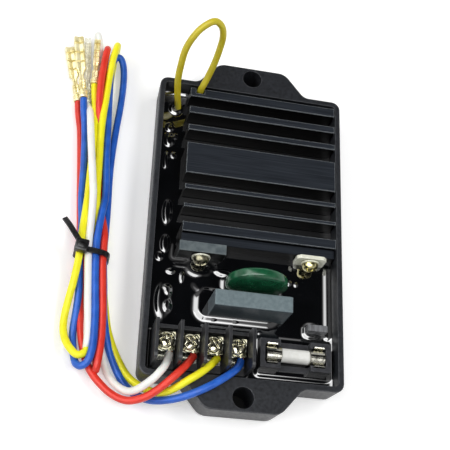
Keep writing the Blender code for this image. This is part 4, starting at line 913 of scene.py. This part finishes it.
def makeFinish(name, dark, light, roughness, metallic=0.0, grain=(900, 900, 900), bump=0.05,
               extras=None, edge=None, sideShade=None):
    # Two tones and a roughness range driven by one grain, with the same grain as fine relief; edge
    # adds a painted highlight along rounded edges, sideShade a painted shade
    material = bpy.data.materials.new(name)
    material.use_nodes = True
    tree = material.node_tree
    nodes, links = tree.nodes, tree.links
    shader = nodes["Principled BSDF"]
    shader.inputs["Metallic"].default_value = metallic
    for socket, value in (extras or {}).items():
        shader.inputs[socket].default_value = value
    place = nodes.new("ShaderNodeTexCoord")
    stretch = nodes.new("ShaderNodeMapping")
    stretch.inputs["Scale"].default_value = grain
    links.new(place.outputs["Object"], stretch.inputs["Vector"])
    noise = nodes.new("ShaderNodeTexNoise")
    noise.inputs["Scale"].default_value = 1.0
    noise.inputs["Detail"].default_value = grains["detail"]
    links.new(stretch.outputs["Vector"], noise.inputs["Vector"])
    grey = noise.outputs["Fac"]
    colour = addRamp(tree, grey, list(zip(grains["toneStops"], (tone(dark), tone(light)))))
    links.new(remap(tree, grey, grains["roughStops"], roughness), shader.inputs["Roughness"])
    relief = nodes.new("ShaderNodeBump")
    relief.inputs["Strength"].default_value = bump
    relief.inputs["Distance"].default_value = grains["reliefDepth"]
    links.new(grey, relief.inputs["Height"])
    links.new(relief.outputs["Normal"], shader.inputs["Normal"])
    if sideShade or edge:
        surface = nodes.new("ShaderNodeNewGeometry")
        height = pickAxis(tree, surface.outputs["Position"], "Z")
    if sideShade:
        # Painted shade: a darker tone where the surface doesn't face up, or lies below a level
        paintedShadeTone, paintedShadeLevel = sideShade
        upward = pickAxis(tree, surface.outputs["Normal"], "Z")
        upward = remap(tree, upward, grains["facingUp"], (0, 1))
        raised = calculate(tree, "GREATER_THAN", height, paintedShadeLevel)
        share = calculate(tree, "MULTIPLY", upward, raised)
        colour = mixTones(tree, share, colour, paintedShadeTone, otherFirst=True)
    if edge:
        # Rounded edges bend the shading normal, and above a level a paler tone is mixed in as a
        # painted highlight along the edges
        radius, edgeHighlightTone, lowest, strength = edge
        rounded = nodes.new("ShaderNodeBevel")
        rounded.inputs["Radius"].default_value = radius
        links.new(rounded.outputs["Normal"], relief.inputs["Normal"])
        edgeHighlight = likeness(tree, rounded.outputs["Normal"], surface.outputs["Normal"])
        edgeHighlight = remap(tree, edgeHighlight, grains["edgeHighlightStops"], (0, strength))
        above = calculate(tree, "GREATER_THAN", height, lowest)
        colour = mixTones(tree, calculate(tree, "MULTIPLY", edgeHighlight, above), colour, edgeHighlightTone)
    links.new(colour, shader.inputs["Base Color"])
    return material


def buildFinishes():
    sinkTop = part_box("heat_sink")[1].z
    # Each edge colour below is a painted highlight along rounded edges, and each sideShade colour a
    # painted shade on sides and low parts
    finishes = {
        "case": makeFinish(
            "mouldedCase", (21, 22, 25), (32, 34, 38), (0.36, 0.52), bump=0.12,
            extras={"Specular IOR Level": 0.4}, edge=(0.0004, (92, 94, 98), 0.004, 0.6),
        ),
        "resin": makeFinish(
            "pottingResin", (4, 5, 7), (9, 10, 13), (0.03, 0.07), grain=(160, 160, 160), bump=0.04,
            extras={
                "Specular IOR Level": 0.6, "Coat Weight": 1.0, "Coat IOR": 2.0,
                "Coat Roughness": 0.03,
            },
        ),
        "board": makeFinish("boardLaminate", (30, 62, 40), (40, 80, 50), (0.5, 0.6)),
        "sink": makeFinish(
            "blackAnodised", (30, 33, 38), (44, 48, 54), (0.34, 0.5), grain=(50, 2400, 2400),
            bump=0.25, extras={"Specular IOR Level": 0.05},
            edge=(0.0003, (176, 182, 186), sinkTop - 0.0012, 0.9),
            sideShade=((3, 3, 4), sinkTop - 0.0026),
        ),
        "bar": makeFinish(
            "bareAluminium", (78, 86, 90), (102, 110, 112), (0.34, 0.5), grain=(500, 500, 2500),
            bump=0.2, extras={"Specular IOR Level": 0.05},
            edge=(0.0002, (160, 168, 170), 0.004, 0.6), sideShade=((4, 6, 8), 0.004),
        ),
        "tab": makeFinish(
            "tinnedTab", (226, 226, 208), (242, 242, 226), (0.28, 0.42), 0.15, bump=0.1,
            edge=(0.0003, (250, 250, 236), 0.0, 0.8),
        ),
        "epoxy": makeFinish("blackEpoxy", (20, 20, 22), (30, 30, 33), (0.4, 0.55), bump=0.2),
        "bush": makeFinish("bushNylon", (206, 206, 188), (226, 226, 210), (0.4, 0.5)),
        "rightZinc": makeFinish(
            "zincSteel", (160, 152, 104), (206, 198, 150), (0.16, 0.3), 1.0, bump=0.15,
        ),
        "leftZinc": makeFinish(
            "dullZinc", (96, 94, 80), (138, 134, 112), (0.26, 0.42), 1.0, bump=0.2,
        ),
        "disc": makeFinish(
            "discVarnish", (16, 68, 42), (28, 92, 60), (0.16, 0.26), grain=(420, 420, 420),
            bump=0.08,
        ),
        "capacitor": makeFinish(
            "capacitorShell", (100, 113, 117), (114, 127, 131), (0.34, 0.46), bump=0.08,
            extras={"Specular IOR Level": 0.2},
            edge=(0.0003, (150, 160, 164), 0.0, 0.4), sideShade=((64, 74, 79), 0.004),
        ),
        "smallCapacitor": makeFinish(
            "smallShell", (84, 85, 87), (122, 123, 126), (0.42, 0.55), grain=(2200, 300, 300),
            bump=0.2,
        ),
        "block": makeFinish(
            "terminalPlastic", (22, 23, 25), (32, 33, 36), (0.34, 0.5), bump=0.12,
            edge=(0.0003, (90, 92, 95), 0.0075, 0.5),
        ),
        "plate": makeFinish(
            "terminalTin", (150, 150, 140), (206, 206, 196), (0.14, 0.28), 1.0, bump=0.12,
        ),
        "nickel": makeFinish(
            "screwNickel", (176, 172, 146), (226, 222, 200), (0.1, 0.22), 1.0, bump=0.12,
        ),
        "copper": makeFinish(
            "copperStrand", (190, 120, 80), (226, 156, 110), (0.28, 0.4), 1.0,
            grain=(300, 300, 4000), bump=0.4,
        ),
        "holder": makeFinish(
            "holderPlastic", (34, 35, 38), (48, 49, 53), (0.36, 0.5), bump=0.12,
            edge=(0.0003, (104, 106, 110), 0.005, 0.5),
        ),
        "ceramic": makeFinish(
            "fuseCeramic", (230, 230, 224), (238, 238, 234), (0.14, 0.24), bump=0.04,
        ),
        "cap": makeFinish(
            "capNickel", (196, 194, 182), (226, 224, 212), (0.12, 0.24), 1.0, bump=0.1,
        ),
        "brass": makeFinish(
            "connectorBrass", (222, 206, 140), (248, 240, 198), (0.2, 0.38), 0.3,
            grain=(400, 400, 400), bump=0.15,
        ),
        # The same connector metal painted paler, as painted light
        "paleLitConnector": makeFinish(
            "connectorPaintedPale", (232, 230, 214), (250, 250, 242), (0.2, 0.38), 0.2,
            grain=(400, 400, 400), bump=0.1,
        ),
        "tie": makeFinish(
            "tieNylon", (8, 8, 9), (18, 18, 20), (0.26, 0.42), grain=(1600, 1600, 1600), bump=0.25,
        ),
        "spring": makeFinish(
            "clipBronze", (206, 204, 190), (236, 234, 222), (0.16, 0.3), 1.0, bump=0.1,
        ),
    }
    print("finishes made")
    return finishes


# The CAD nodes that keep their own shape; other pieces stand for the rest
finishOfNode = {
    "case_tray": "case", "circuit_board": "board", "heat_sink": "sink",
    "left_power_device": "bar", "left_device_bush": "bush",
    "right_device_tab": "tab", "right_device_package": "epoxy", "right_device_bush": "bush",
    "film_capacitor": "capacitor", "small_capacitor": "smallCapacitor",
    "terminal_block": "block", "fuse_holder": "holder", "fuse_tube": "ceramic",
    "fuse_cap_left": "cap", "fuse_cap_right": "cap",
    "fuse_clip_left": "spring", "fuse_clip_right": "spring",
}
finishOfPole = {"terminal_plate_": "plate", "lead_core_": "copper"}


def dressNodes(finishes):
    for name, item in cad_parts.items():
        key = finishOfNode.get(name) or finishOfPole.get(name.rstrip("0123456789"))
        if key:
            for materialSlot in item.material_slots:
                materialSlot.material = finishes[key]
    print("nodes dressed")


def writeSizes():
    print("scene ready")


setCamera()
finishes = buildFinishes()
buildTie(finishes["tie"])
buildResin(finishes["resin"])
buildDisc(finishes["disc"])
buildScrews(finishes)
buildClamps(finishes["plate"])
buildConnectors(finishes)
buildCords()
buildStage()
dressNodes(finishes)
writeSizes()
